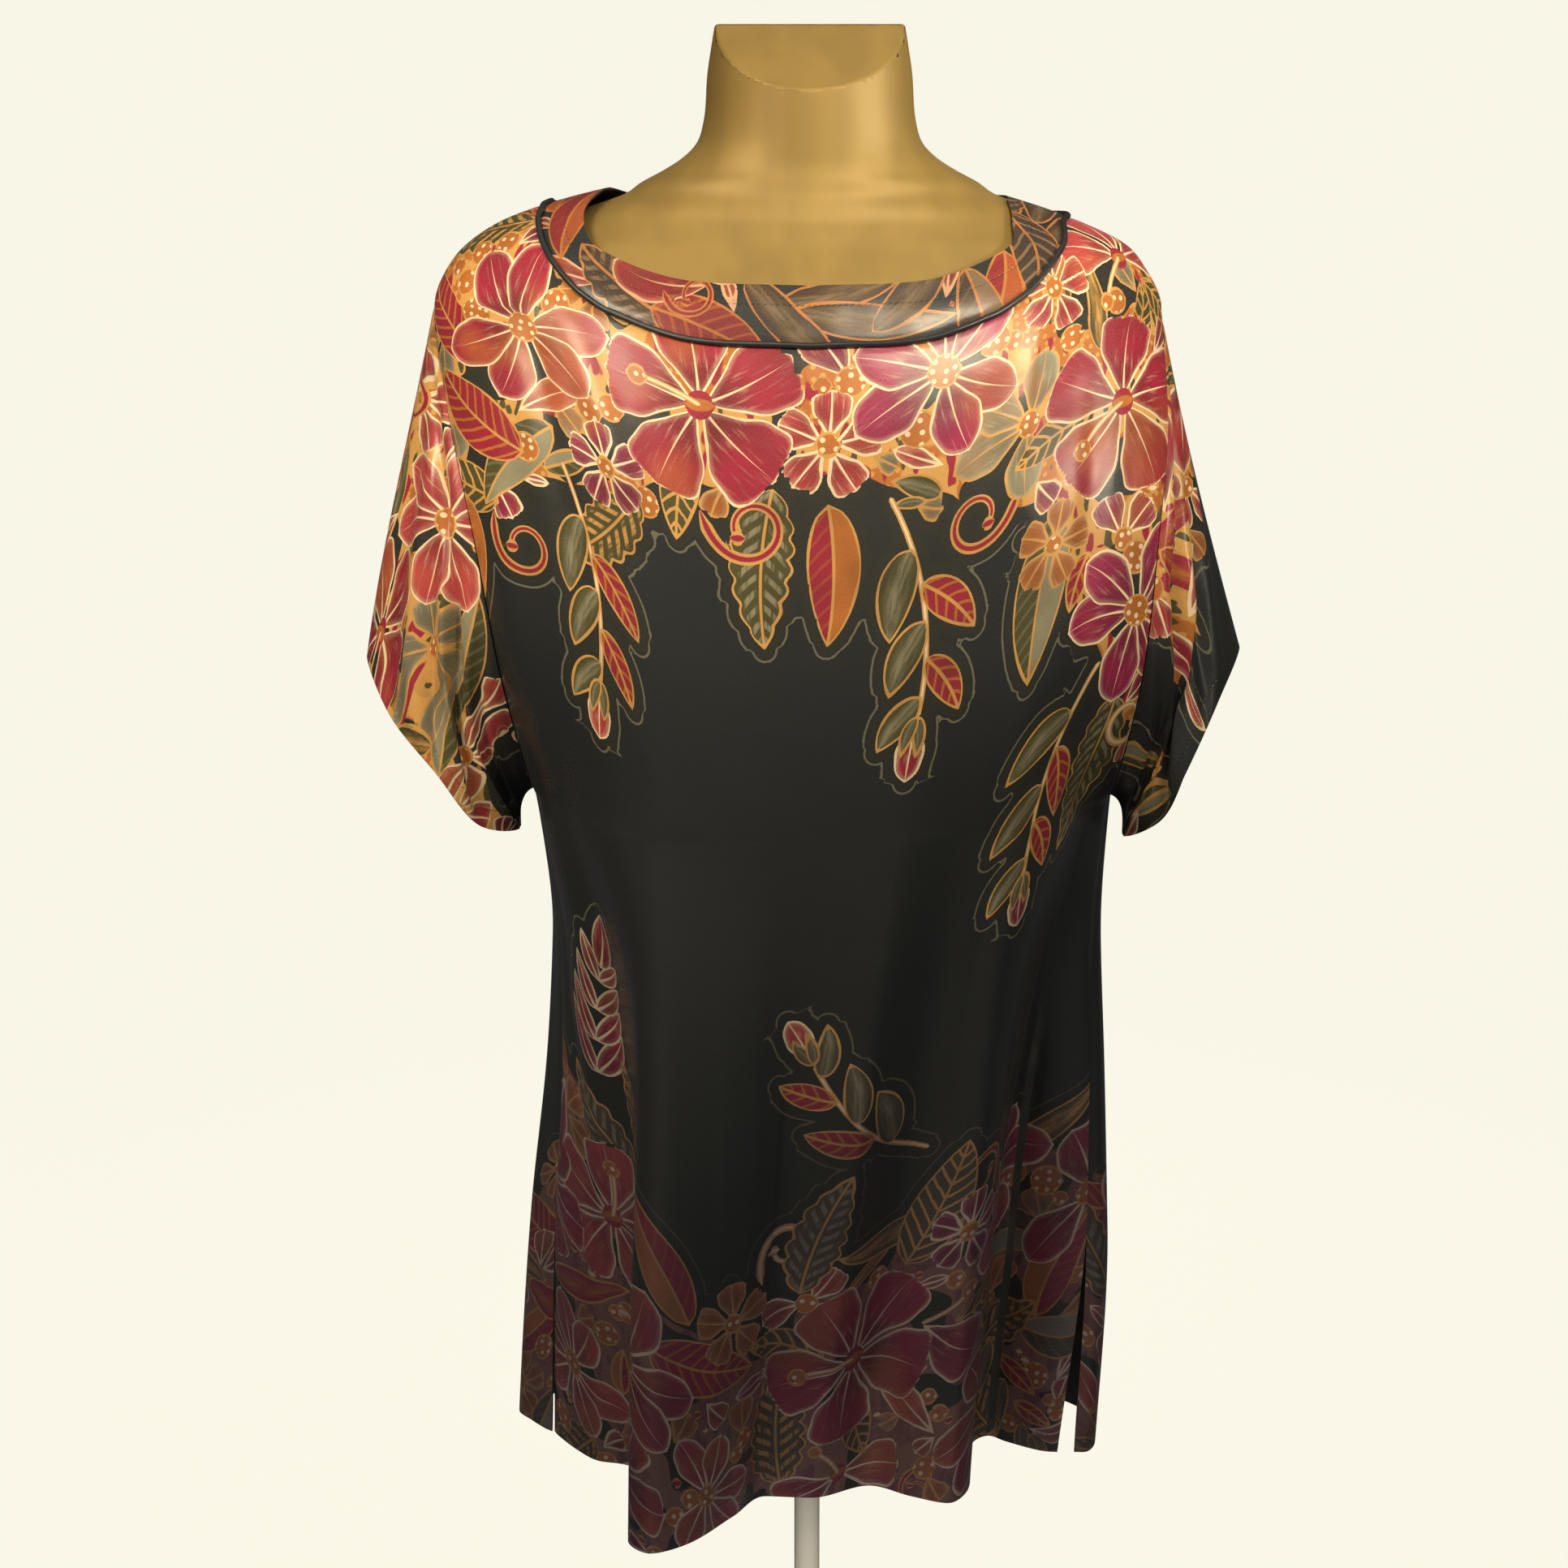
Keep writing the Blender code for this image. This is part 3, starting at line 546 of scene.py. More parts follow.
def sprig(place, heading, size, bend, tone):
    """A bent stem with leaves by turns, a bud at its tip and a blossom at its foot."""
    stem = line_from(place, heading, size, bend, 13)
    strokes = bud(stem[-1], heading + bend, size * 0.30, 0.1, tone)
    for number in range(3, 12, 2):
        side = 1 if number % 4 == 1 else -1
        angle = heading + bend * number / 12 + 0.80 * side
        length = size * (0.46 - 0.014 * number)
        kind, colour = (VEINED, RUST) if side > 0 else (LIGHT, MOSS)
        strokes.append(leaf(stem[number], angle, length, length * 0.42, -0.5 * side, kind, colour))
    strokes.append(Stroke(stem, np.full(13, STEM), LINE, GOLD))
    return strokes


def frond(place, heading, size, bend, tone):
    """Leaflets in pairs along a stem, with one at its end."""
    stem = line_from(place, heading, size, bend, 11)
    strokes = [leaf(stem[9], heading + bend, size * 0.42, size * 0.16, 0.1, PETAL, tone)]
    for number in (8, 6, 4, 2):
        length = size * (0.46 - 0.02 * number)
        for side in (-1, 1):
            angle = heading + bend * number / 10 + side * 0.72
            width, curl = length * 0.34, -0.4 * side
            strokes.append(leaf(stem[number], angle, length, width, curl, PETAL, tone))
    strokes.append(Stroke(stem, np.full(11, FINE_STEM), LINE, GOLD))
    return strokes


def tendril(place, heading, size, bend, tone):
    """A tapered line that winds into a small spiral with a round end."""
    wind = 6.6 if bend > 0 else -6.6
    line = line_from(place, heading, size, wind, TENDRIL_POINTS, 1.6)
    share = np.linspace(0.0, 1.0, TENDRIL_POINTS)
    widths = size * 0.031 * (1.15 - 0.65 * share) * np.minimum(1.0, share / 0.1 + 0.1)
    return [disc(line[-1], size * 0.038, LINE, tone), Stroke(line, widths, LINE, tone)]


def single_leaf(share, kind, tooth=None):
    """A motif of one leaf, as wide as a share of its length, with teeth of a length if any."""

    def motif(place, heading, size, bend, tone):
        teeth = round(size / tooth) if tooth else 0
        return [leaf(place, heading, size, size * share, bend, kind, tone, teeth)]

    return motif


veined_leaf = single_leaf(0.46, VEINED)
toothed_leaf = single_leaf(0.40, TOOTHED, TOOTH)
split_leaf = single_leaf(0.38, SPLIT)
blade = single_leaf(0.24, LIGHT)


def loose_petal(place, heading, size, bend, tone):
    """A single fallen petal."""
    return [petal(place, heading, size * 0.8, size * 0.30, bend, tone)]


def pip(place, heading, size, bend, tone):
    """A dotted spot."""
    return [disc(place, 0.004 + 0.09 * size, DOTTED, AMBER)]


def along(stroke, places):
    """For places near a stroke: length along it, signed offset, half width and inner distance."""
    start, end = stroke.points[:-1], stroke.points[1:]
    run = end - start
    lengths = np.linalg.norm(run, axis=1)
    direction = run / lengths[:, None]
    offset = places[:, None, :] - start[None]
    onward = np.einsum("nmk,mk->nm", offset, direction)
    aside = offset[..., 1] * direction[:, 0] - offset[..., 0] * direction[:, 1]
    within = np.clip(onward, 0.0, lengths)
    away = np.hypot(aside, onward - within)
    nearest = away.argmin(axis=1)
    row = np.arange(len(places))
    here = onward[row, nearest]
    side = aside[row, nearest]
    distance = away[row, nearest]
    before = (nearest == 0) & (here < 0)
    beyond = (nearest == len(lengths) - 1) & (here > lengths[-1])
    outside = np.where(before, -here, np.where(beyond, here - lengths[-1], 0.0))
    part = np.clip(here / lengths[nearest], 0.0, 1.0)
    low, high = stroke.widths[nearest], stroke.widths[nearest + 1]
    width = low + (high - low) * part
    slope = np.sqrt(1 + np.minimum(((high - low) / lengths[nearest]) ** 2, 4.0))
    passed = run_along(stroke.points, 0)[nearest] + here
    ends = outside > 0
    offset = np.where(ends, side, np.where(side < 0, -1.0, 1.0) * distance)
    inner = np.where(ends, -np.hypot(outside, side), (width - distance) / slope)
    return passed, offset, np.where(ends, -outside, width), inner


class Print:
    """Strokes laid in layers on the flat cut of one piece, the first one uppermost."""

    def __init__(self, flat, inside):
        self.flat = flat.reshape(-1, 2)
        self.inside = inside.ravel()
        count = len(self.flat)
        self.bins = {}
        keys = np.floor(self.flat / BIN).astype(int)
        order = np.lexsort((keys[:, 1], keys[:, 0]))
        changes = np.flatnonzero(np.any(np.diff(keys[order], axis=0) != 0, axis=1)) + 1
        for members in np.split(order, changes):
            self.bins[tuple(keys[members[0]])] = members
        self.body = np.full((LAYERS, count, 3), BARE_MOTIF)
        self.look = np.full((LAYERS, count, 3), BARE_LOOK)
        self.taken = np.zeros((LAYERS, count), bool)
        self.lowest = np.full(count, LAYERS)
        self.buried = np.full(count, -FAR)
        self.distance = np.full(count, FAR)

    def places_between(self, low, high):
        """Numbers of the places between two corners."""
        first, last = np.floor(low / BIN).astype(int), np.floor(high / BIN).astype(int)
        found = [
            self.bins[x, y]
            for x in range(first[0], last[0] + 1)
            for y in range(first[1], last[1] + 1)
            if (x, y) in self.bins
        ]
        if not found:
            return np.zeros(0, int)
        near = np.concatenate(found)
        place = self.flat[near]
        return near[np.all((place > low) & (place < high), axis=1)]

    def crowded_at(self, place):
        """How far inside the crowded print the piece is at a place, or -1 beyond the piece."""
        members = self.bins.get(tuple(np.floor(place / BIN).astype(int)))
        if members is None:
            return -1.0
        away = np.abs(self.flat[members] - place).sum(axis=1)
        nearest = away.argmin()
        return self.inside[members[nearest]] if away[nearest] < BIN / 2 else -1.0

    def lay(self, stroke, showing):
        """Lays a stroke in the highest layer that is free below what it overlaps."""
        margin = MARGIN + stroke.widths.max()
        low, high = stroke.points.min(axis=0) - margin, stroke.points.max(axis=0) + margin
        near = self.places_between(low, high)
        if not len(near):
            return
        passed, offset, width, inner = along(stroke, self.flat[near])
        open_here = self.buried[near] < BURIED
        inside = near[inner > -THIN]
        if not len(inside) or (self.lowest[inside] == LAYERS).mean() < showing:
            return
        inside = near[(inner > -THIN) & open_here]
        touched = (inner > -MOTIF_GAP) & open_here
        cover = near[touched]
        for layer in range(self.lowest[inside].min() - 1, -1, -1):
            if not self.taken[layer, cover].any():
                body = np.stack([passed, offset, width], axis=-1)
                look = np.stack([inner, 0 * inner + stroke.kind, 0 * inner + stroke.tone], axis=-1)
                self.body[layer, cover] = body[touched]
                self.look[layer, cover] = look[touched]
                self.taken[layer, cover] = True
                near_motif = near[(inner > -MOTIF_GAP / 2) & open_here]
                self.lowest[near_motif] = np.minimum(self.lowest[near_motif], layer)
                depth = np.minimum(inner, width - abs(offset))
                self.buried[near] = np.maximum(self.buried[near], depth)
                self.distance[near] = np.minimum(self.distance[near], -inner)
                return

    def calm_small_gaps(self, shape):
        """Keeps the echo line out of small gaps between the motifs."""
        around = self.distance.reshape(shape)
        for axis in (0, 1):
            shifts = [np.roll(around, step, axis) for step in range(-GAP_CELLS, GAP_CELLS + 1)]
            around = np.max(shifts, axis=0)
        small = around.ravel() < SMALL_GAP
        self.distance[small] = np.minimum(self.distance[small], NO_ECHO)

    def place(self, showing, make, *motif):
        """Lays the strokes of a motif, the uppermost first."""
        for stroke in make(*motif):
            self.lay(stroke, showing)


# Where the print goes. Places are on the flat cut: across from the middle, and up from the floor.
Motif = namedtuple("Motif", "make across up heading size bend tone")
Shore = namedtuple("Shore", "across up")

MOTIFS = {
    "front": rows(
        Motif,
        (hibiscus, -0.060, 0.856, 100, 0.055, 0.25, CRIMSON),
        (lily, 0.074, 0.872, 40, 0.050, 0.30, PLUM),
        (lily, -0.176, 0.868, 200, 0.054, -0.30, CRIMSON),
        (hibiscus, 0.196, 0.812, 150, 0.054, -0.25, CRIMSON),
        (lily, 0.128, 0.822, 20, 0.042, 0.30, SAND),
        (blossom, 0.010, 0.836, 10, 0.028, 0.30, ROSE),
        (blossom, -0.118, 0.800, 30, 0.025, 0.30, PLUM),
        (blossom, 0.150, 0.900, 70, 0.027, 0.30, ROSE),
        (blossom, -0.124, 0.912, 50, 0.027, 0.30, AMBER),
        (lily, 0.205, 0.690, 250, 0.047, 0.30, PLUM),
        (blossom, 0.146, 0.742, 0, 0.024, 0.30, AMBER),
        (sprig, 0.044, 0.806, -62, 0.125, -0.70, CRIMSON),
        (sprig, -0.150, 0.786, -60, 0.120, -0.60, ROSE),
        (sprig, 0.180, 0.664, -132, 0.120, 0.70, PLUM),
        (tendril, -0.060, 0.798, -70, 0.110, 1.0, TWINE),
        (tendril, 0.122, 0.788, -110, 0.105, -1.0, TWINE),
        (tendril, -0.196, 0.744, -95, 0.100, 1.0, TWINE),
        (tendril, 0.236, 0.632, -100, 0.105, -1.0, GOLD),
        (toothed_leaf, -0.020, 0.812, -104, 0.088, 0.40, MOSS),
        (toothed_leaf, -0.098, 0.792, -118, 0.082, -0.40, LEAF),
        (split_leaf, 0.010, 0.804, -80, 0.078, -0.35, RUST),
        (veined_leaf, 0.084, 0.804, -96, 0.084, 0.40, LEAF),
        (split_leaf, 0.150, 0.760, -112, 0.092, 0.30, MOSS),
        (toothed_leaf, 0.196, 0.640, -96, 0.098, -0.35, MOSS),
        (blade, 0.226, 0.640, -82, 0.090, 0.30, LEAF),
        (split_leaf, -0.222, 0.750, -84, 0.085, -0.30, RUST),
        (veined_leaf, -0.030, 0.900, 150, 0.075, 0.30, RUST),
        (veined_leaf, 0.140, 0.846, -40, 0.080, 0.35, RUST),
        (veined_leaf, -0.120, 0.856, 60, 0.070, -0.35, LEAF),
        (sprig, 0.098, 0.392, 152, 0.118, -0.60, ROSE),
        (hibiscus, 0.060, 0.262, 120, 0.054, 0.25, CRIMSON),
        (lily, -0.110, 0.276, 60, 0.050, 0.30, CRIMSON),
        (lily, 0.196, 0.300, 10, 0.048, -0.30, PLUM),
        (blossom, -0.028, 0.312, 20, 0.026, 0.30, AMBER),
        (blossom, 0.130, 0.326, 80, 0.024, 0.30, PLUM),
        (toothed_leaf, 0.020, 0.318, 84, 0.086, -0.40, MOSS),
        (split_leaf, -0.060, 0.316, 112, 0.082, 0.40, RUST),
        (veined_leaf, 0.092, 0.312, 58, 0.084, 0.35, LEAF),
        (toothed_leaf, -0.150, 0.322, 96, 0.080, 0.35, LEAF),
        (tendril, -0.006, 0.330, 108, 0.100, -1.0, GOLD),
        (tendril, 0.150, 0.338, 70, 0.095, 1.0, TWINE),
        (frond, -0.196, 0.360, 84, 0.110, -0.30, CRIMSON),
    ),
    "back": rows(
        Motif,
        (sprig, 0.060, 0.520, 200, 0.120, 0.60, ROSE),
        (sprig, -0.090, 0.660, -40, 0.110, -0.60, CRIMSON),
        (hibiscus, 0.040, 0.872, 80, 0.062, 0.25, CRIMSON),
        (lily, -0.120, 0.850, 20, 0.060, 0.30, PLUM),
        (lily, 0.150, 0.262, 60, 0.056, 0.30, CRIMSON),
        (hibiscus, -0.060, 0.262, 10, 0.060, 0.25, ROSE),
        (tendril, 0.010, 0.792, -80, 0.110, 1.0, GOLD),
        (tendril, -0.060, 0.806, -110, 0.105, -1.0, TWINE),
    ),
}

# Edges of the crowded parts of the print: above the upper one and below the lower one
SHORES = {
    "front": (
        rows(
            Shore,
            (-0.32, 0.20), (-0.262, 0.42), (-0.236, 0.68), (-0.180, 0.760), (-0.120, 0.775),
            (-0.060, 0.802), (0.020, 0.808), (0.080, 0.792), (0.130, 0.752), (0.170, 0.680),
            (0.200, 0.610), (0.230, 0.570), (0.32, 0.55),
        ),
        rows(
            Shore,
            (-0.32, 0.42), (-0.220, 0.370), (-0.150, 0.312), (-0.080, 0.330), (-0.020, 0.306),
            (0.040, 0.330), (0.110, 0.352), (0.170, 0.318), (0.230, 0.340), (0.32, 0.360),
        ),
    ),
    "back": (
        rows(
            Shore,
            (-0.32, 0.50), (-0.230, 0.600), (-0.170, 0.720), (-0.090, 0.800), (0.000, 0.780),
            (0.090, 0.812), (0.170, 0.760), (0.230, 0.690), (0.32, 0.460),
        ),
        rows(
            Shore,
            (-0.32, 0.330), (-0.200, 0.360), (-0.060, 0.300), (0.060, 0.340), (0.190, 0.310),
            (0.32, 0.380),
        ),
    ),
}

# What fills the rest of the crowded parts. Each share is of the motifs in its own table.
Filler = namedtuple("Filler", "make share least most tones")
LARGE_FILLERS = rows(
    Filler,
    (lily, 0.30, 0.038, 0.050, (CRIMSON, PLUM, ROSE)),
    (hibiscus, 0.25, 0.040, 0.050, (CRIMSON, ROSE)),
    (frond, 0.25, 0.090, 0.120, (CRIMSON, ROSE, PLUM)),
    (sprig, 0.20, 0.090, 0.110, (CRIMSON, ROSE)),
)
SMALL_FILLERS = rows(
    Filler,
    (tendril, 0.10, 0.055, 0.100, (GOLD, TWINE)),
    (blossom, 0.09, 0.016, 0.028, (ROSE, AMBER, PLUM, SAND)),
    (toothed_leaf, 0.15, 0.040, 0.095, (MOSS, LEAF)),
    (blade, 0.14, 0.030, 0.080, (MOSS, LEAF, RUST)),
    (veined_leaf, 0.15, 0.030, 0.080, (RUST, LEAF, RUST)),
    (split_leaf, 0.13, 0.030, 0.080, (RUST, MOSS)),
    (loose_petal, 0.17, 0.022, 0.070, (CRIMSON, ROSE, PLUM)),
    (pip, 0.08, 0.020, 0.060, (AMBER,)),
)
BAND_FILLERS = rows(
    Filler,
    (tendril, 0.08, 0.050, 0.070, (GOLD, TWINE)),
    (toothed_leaf, 0.16, 0.040, 0.080, (MOSS, MOSS)),
    (blade, 0.32, 0.035, 0.090, (MOSS, MOSS)),
    (split_leaf, 0.12, 0.030, 0.070, (MOSS, RUST)),
    (veined_leaf, 0.12, 0.030, 0.070, (MOSS, RUST)),
    (loose_petal, 0.18, 0.030, 0.080, (CRIMSON, PLUM)),
)


def read_shore(table, across):
    """Height of the edge of a crowded part at a place across."""
    return np.interp(across, column(table, "across"), column(table, "up"))


def crowded(side, places):
    """How far inside a crowded part of the print places lie, in metres."""
    upper, lower = SHORES[side]
    across, up = places[..., 0], places[..., 1]
    return np.maximum(up - read_shore(upper, across), read_shore(lower, across) - up)


def place_motifs(printed, motifs):
    """Lays the motifs that have a place of their own."""
    for motif in motifs:
        place, heading = (motif.across, motif.up), radians(motif.heading)
        printed.place(PLACED_SHOWING, motif.make, place, heading, *motif[4:])


def drawn(fillers, chance):
    """One filler of a table, by the shares."""
    shares = np.array(column(fillers, "share"))
    return fillers[chance.choice(len(fillers), p=shares / shares.sum())]


def fill_print(printed, seed, fillers=SMALL_FILLERS):
    """Fills the crowded parts of a piece with large motifs and then small ones, large to small."""
    chance = np.random.default_rng(seed)
    low, high = printed.flat.min(axis=0), printed.flat.max(axis=0)
    reach = high - low
    steps = np.ceil(reach / LARGE_SPACING).astype(int)
    for row in range(steps[1] + 1):
        for place in range(steps[0] + 1):
            jitter = chance.uniform(-LARGE_JITTER, LARGE_JITTER, 2) + (0.5 * (row % 2), 0.0)
            spot = low + (np.array([place, row]) + jitter) * LARGE_SPACING
            filler = drawn(LARGE_FILLERS, chance)
            size = chance.uniform(filler.least, filler.most)
            heading = chance.uniform(0, tau)
            tone = int(chance.choice(filler.tones))
            if printed.crowded_at(spot) > LARGE_INSIDE and fillers is SMALL_FILLERS:
                printed.place(LARGE_SHOWING, filler.make, spot, heading, size, 0.3, tone)
    attempts = int(FILL_ATTEMPTS * (reach[0] * reach[1] + 0.03))
    for attempt in range(attempts):
        large = max(0.0, 1 - 1.25 * attempt / attempts) + chance.uniform(0.0, 0.15)
        place = low + chance.uniform(0, 1, 2) * reach
        heading = chance.uniform(0, tau)
        bend = chance.uniform(-0.7, 0.7)
        filler = drawn(fillers, chance)
        size = filler.least + min(large, 1.0) * (filler.most - filler.least)
        tone = int(chance.choice(filler.tones))
        room = printed.crowded_at(step_from(place, heading, 0.6 * size))
        if min(printed.crowded_at(place), room) > SMALL_INSIDE:
            printed.place(SMALL_SHOWING, filler.make, place, heading, size, bend, tone)


# How the cloth's flat cut is found: every few points are moved many times, then smoothed
UNROLL_STEP = 4
UNROLL_ROUNDS = 900
UNROLL_HASTE = 1.6
EASING_ROUNDS = 2


def unrolled(grid, guess):
    """Places on the flat cut whose distances match the cloth's, eased from a first guess."""
    lines = np.arange(0, grid.shape[0], UNROLL_STEP)
    columns = np.arange(0, grid.shape[1], UNROLL_STEP)
    shape = grid[np.ix_(lines, columns)]
    coarse = guess[np.ix_(lines, columns)]
    places = coarse.copy()
    every, first, last = slice(None), slice(None, -1), slice(1, None)
    joins = [((every, first), (every, last)), ((first, every), (last, every))]
    joins += [((first, first), (last, last)), ((first, last), (last, first))]
    lengths = [np.linalg.norm(shape[b] - shape[a], axis=-1, keepdims=True) for a, b in joins]
    count = np.zeros(places.shape[:2] + (1,))
    for a, b in joins:
        count[a] += 1
        count[b] += 1
    for _ in range(UNROLL_ROUNDS):
        move = np.zeros_like(places)
        for (a, b), length in zip(joins, lengths):
            apart = places[b] - places[a]
            now = np.maximum(np.linalg.norm(apart, axis=-1, keepdims=True), 1e-9)
            pull = 0.5 * (1 - length / now) * apart
            move[a] += pull
            move[b] -= pull
        places += UNROLL_HASTE * move / count
    eased = places - coarse
    for _ in range(EASING_ROUNDS):
        eased[1:-1] = (eased[:-2] + 2 * eased[1:-1] + eased[2:]) / 4
        eased[:, 1:-1] = (eased[:, :-2] + 2 * eased[:, 1:-1] + eased[:, 2:]) / 4
    places = coarse + eased
    flat = np.zeros(grid.shape[:2] + (2,))
    for axis in range(2):
        part = places[..., axis]
        across = np.array([cubic_through(columns, row, np.arange(grid.shape[1])) for row in part])
        up = [cubic_through(lines, line, np.arange(grid.shape[0])) for line in across.T]
        flat[..., axis] = np.array(up).T
    return flat


# Soft creases of the cloth, in metres: where each begins, its heading, and its depth outward.
Crease = namedtuple("Crease", "across up heading length bend width depth")
CREASES = {
    "front": rows(
        Crease,
        (-0.150, 0.900, -62, 0.150, -0.30, 0.012, 0.0016),
        (-0.175, 0.880, -75, 0.190, -0.15, 0.011, -0.0018),
        (-0.196, 0.820, -84, 0.180, -0.12, 0.010, 0.0016),
        (0.150, 0.905, -112, 0.150, 0.30, 0.012, 0.0015),
        (0.182, 0.860, -97, 0.210, 0.10, 0.010, -0.0017),
        (0.060, 0.640, -96, 0.300, 0.06, 0.016, 0.0012),
        (-0.030, 0.600, -88, 0.280, 0.05, 0.018, 0.0011),
        (-0.110, 0.700, -82, 0.220, -0.10, 0.014, -0.0014),
        (-0.215, 0.560, -92, 0.340, 0.05, 0.009, -0.0018),
        (-0.243, 0.520, -93, 0.300, 0.04, 0.008, 0.0016),
        (0.196, 0.560, -90, 0.330, 0.04, 0.010, 0.0015),
        (0.222, 0.540, -88, 0.300, -0.04, 0.009, -0.0016),
    ),
    "back": rows(
        Crease,
        (-0.150, 0.900, -64, 0.160, -0.25, 0.013, 0.0015),
        (0.160, 0.895, -114, 0.170, 0.25, 0.013, 0.0016),
        (-0.060, 0.640, -92, 0.340, 0.05, 0.015, -0.0016),
        (0.050, 0.660, -88, 0.360, -0.04, 0.016, 0.0015),
        (0.140, 0.560, -93, 0.300, 0.08, 0.012, -0.0016),
        (-0.170, 0.600, -89, 0.330, -0.06, 0.012, 0.0016),
    ),
    "left": rows(
        Crease,
        (-0.020, 0.013, 174, 0.215, -0.12, 0.008, -0.0058),
        (-0.214, 0.004, 78, 0.060, 0.10, 0.009, -0.0041),
        (-0.184, 0.004, 84, 0.085, 0.15, 0.010, 0.0046),
        (-0.152, 0.004, 88, 0.125, -0.15, 0.010, -0.0057),
        (-0.130, 0.006, 93, 0.140, 0.10, 0.011, 0.0049),
        (-0.104, 0.010, 86, 0.150, 0.15, 0.010, -0.0046),
        (-0.074, 0.010, 95, 0.170, -0.15, 0.013, 0.0041),
        (-0.040, 0.012, 90, 0.180, 0.10, 0.013, -0.0035),
        (0.050, 0.010, 88, 0.180, 0.10, 0.014, 0.0038),
        (0.088, 0.008, 94, 0.150, -0.10, 0.011, -0.0046),
        (0.128, 0.005, 88, 0.130, 0.15, 0.013, 0.0041),
        (0.168, 0.005, 96, 0.100, 0.10, 0.011, -0.0041),
    ),
    "right": rows(
        Crease,
        (0.020, 0.013, 6, 0.215, 0.12, 0.008, -0.0062),
        (0.050, 0.034, 10, 0.170, 0.20, 0.010, 0.0034),
        (0.206, 0.004, 100, 0.065, -0.10, 0.009, -0.0041),
        (0.176, 0.004, 96, 0.090, -0.15, 0.010, 0.0046),
        (0.142, 0.005, 92, 0.125, 0.15, 0.010, -0.0054),
        (0.108, 0.008, 86, 0.145, -0.10, 0.013, 0.0046),
        (0.070, 0.012, 93, 0.165, 0.10, 0.011, -0.0041),
        (0.034, 0.012, 88, 0.175, -0.10, 0.013, 0.0035),
        (-0.046, 0.010, 92, 0.180, -0.10, 0.014, -0.0038),
        (-0.090, 0.008, 87, 0.150, 0.10, 0.011, 0.0043),
        (-0.130, 0.005, 93, 0.130, -0.15, 0.013, -0.0041),
        (-0.172, 0.005, 85, 0.095, -0.10, 0.011, 0.0041),
    ),
}


def relief(flat, creases):
    """Height of the soft creases at places on the flat cut."""
    places = flat.reshape(-1, 2)
    height = np.zeros(len(places))
    for crease in creases:
        start = (crease.across, crease.up)
        line = line_from(start, radians(crease.heading), *crease[3:5], CREASE_POINTS)
        stroke = Stroke(line, np.full(CREASE_POINTS, crease.width), LINE, GOLD)
        passed, offset, _, _ = along(stroke, places)
        share = np.clip(passed / crease.length, 0.0, 1.0)
        fade = np.sin(pi * share) ** 0.8
        height += crease.depth * fade * np.exp(-((offset / crease.width) ** 2))
    return height.reshape(flat.shape[:2])


def edge_places(grid, free):
    """Least distance to the free edges of a grid, and the length along the nearest one."""
    across, up = run_along(grid, 1), run_along(grid, 0)
    away = {
        "bottom": (up, across),
        "top": (up[-1:] - up, across),
        "start": (across, up),
        "end": (across[:, -1:] - across, up),
    }
    distance = np.full(grid.shape[:2], FAR)
    passed = np.zeros(grid.shape[:2])
    for name in free:
        near, run = away[name]
        closer = near < distance
        distance = np.where(closer, near, distance)
        passed = np.where(closer, run, passed)
    return distance, passed


def new_mesh(name, points, faces, *materials):
    """A smooth mesh of points and faces."""
    mesh = bpy.data.meshes.new(name)
    mesh.from_pydata(points.reshape(-1, 3).tolist(), [], faces)
    for material in materials:
        mesh.materials.append(material)
    mesh.shade_smooth()
    return mesh


def add(name, data):
    """A new object in the scene."""
    item = bpy.data.objects.new(name, data)
    bpy.context.scene.collection.objects.link(item)
    return item


def stand_in(piece, node):
    """Puts a piece under the root and hides the node whose place it takes."""
    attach(piece, "root")
    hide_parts(node)


def stretch(line, low, high, whole):
    """The points of a line from one place to another, or only the two ends."""
    return line[low : high + 1] if whole else line[[low, high]]


def cloth_mesh(name, outer, inner, materials):
    """A thin closed wall: fine on the outside, with larger faces on the inside."""
    lines, columns = outer.shape[:2]
    fine = np.arange(lines * columns).reshape(lines, columns)
    row, place = np.indices((lines, columns))
    kept = (row % LINING_STEP == 0) & (place % LINING_STEP == 0)
    kept |= (row == 0) | (row == lines - 1) | (place == 0) | (place == columns - 1)
    coarse = np.full((lines, columns), -1)
    coarse[kept] = np.arange(kept.sum()) + lines * columns
    points = np.concatenate([outer.reshape(-1, 3), inner[kept]])

    quads = np.stack([fine[:-1, :-1], fine[:-1, 1:], fine[1:, 1:], fine[1:, :-1]], axis=-1)
    faces = quads.reshape(-1, 4).tolist()
    rims = [(fine[0, ::-1], coarse[0, ::-1]), (fine[-1], coarse[-1])]
    rims += [(fine[:, 0], coarse[:, 0]), (fine[::-1, -1], coarse[::-1, -1])]
    for out, back in rims:
        faces += np.stack([out[:-1], out[1:], back[1:], back[:-1]], axis=-1).tolist()
    outside = len(faces)
    for low in range(0, lines - 1, LINING_STEP):
        high = low + LINING_STEP
        for start in range(0, columns - 1, LINING_STEP):
            end = start + LINING_STEP
            bottom = stretch(coarse[low], start, end, low == 0)
            right = stretch(coarse[:, end], low, high, end == columns - 1)
            top = stretch(coarse[high], start, end, high == lines - 1)
            left = stretch(coarse[:, start], low, high, start == 0)
            loop = [*bottom[:-1], *right[:-1], *top[::-1][:-1], *left[::-1][:-1]]
            faces.append([int(point) for point in loop[::-1]])
    mesh = new_mesh(name, points, faces, *materials)
    slots = np.zeros(len(faces), np.int32)
    slots[outside:] = 1
    mesh.polygons.foreach_set("material_index", slots)
    mesh.set_sharp_from_angle(angle=radians(50.0))
    return add(name, mesh)


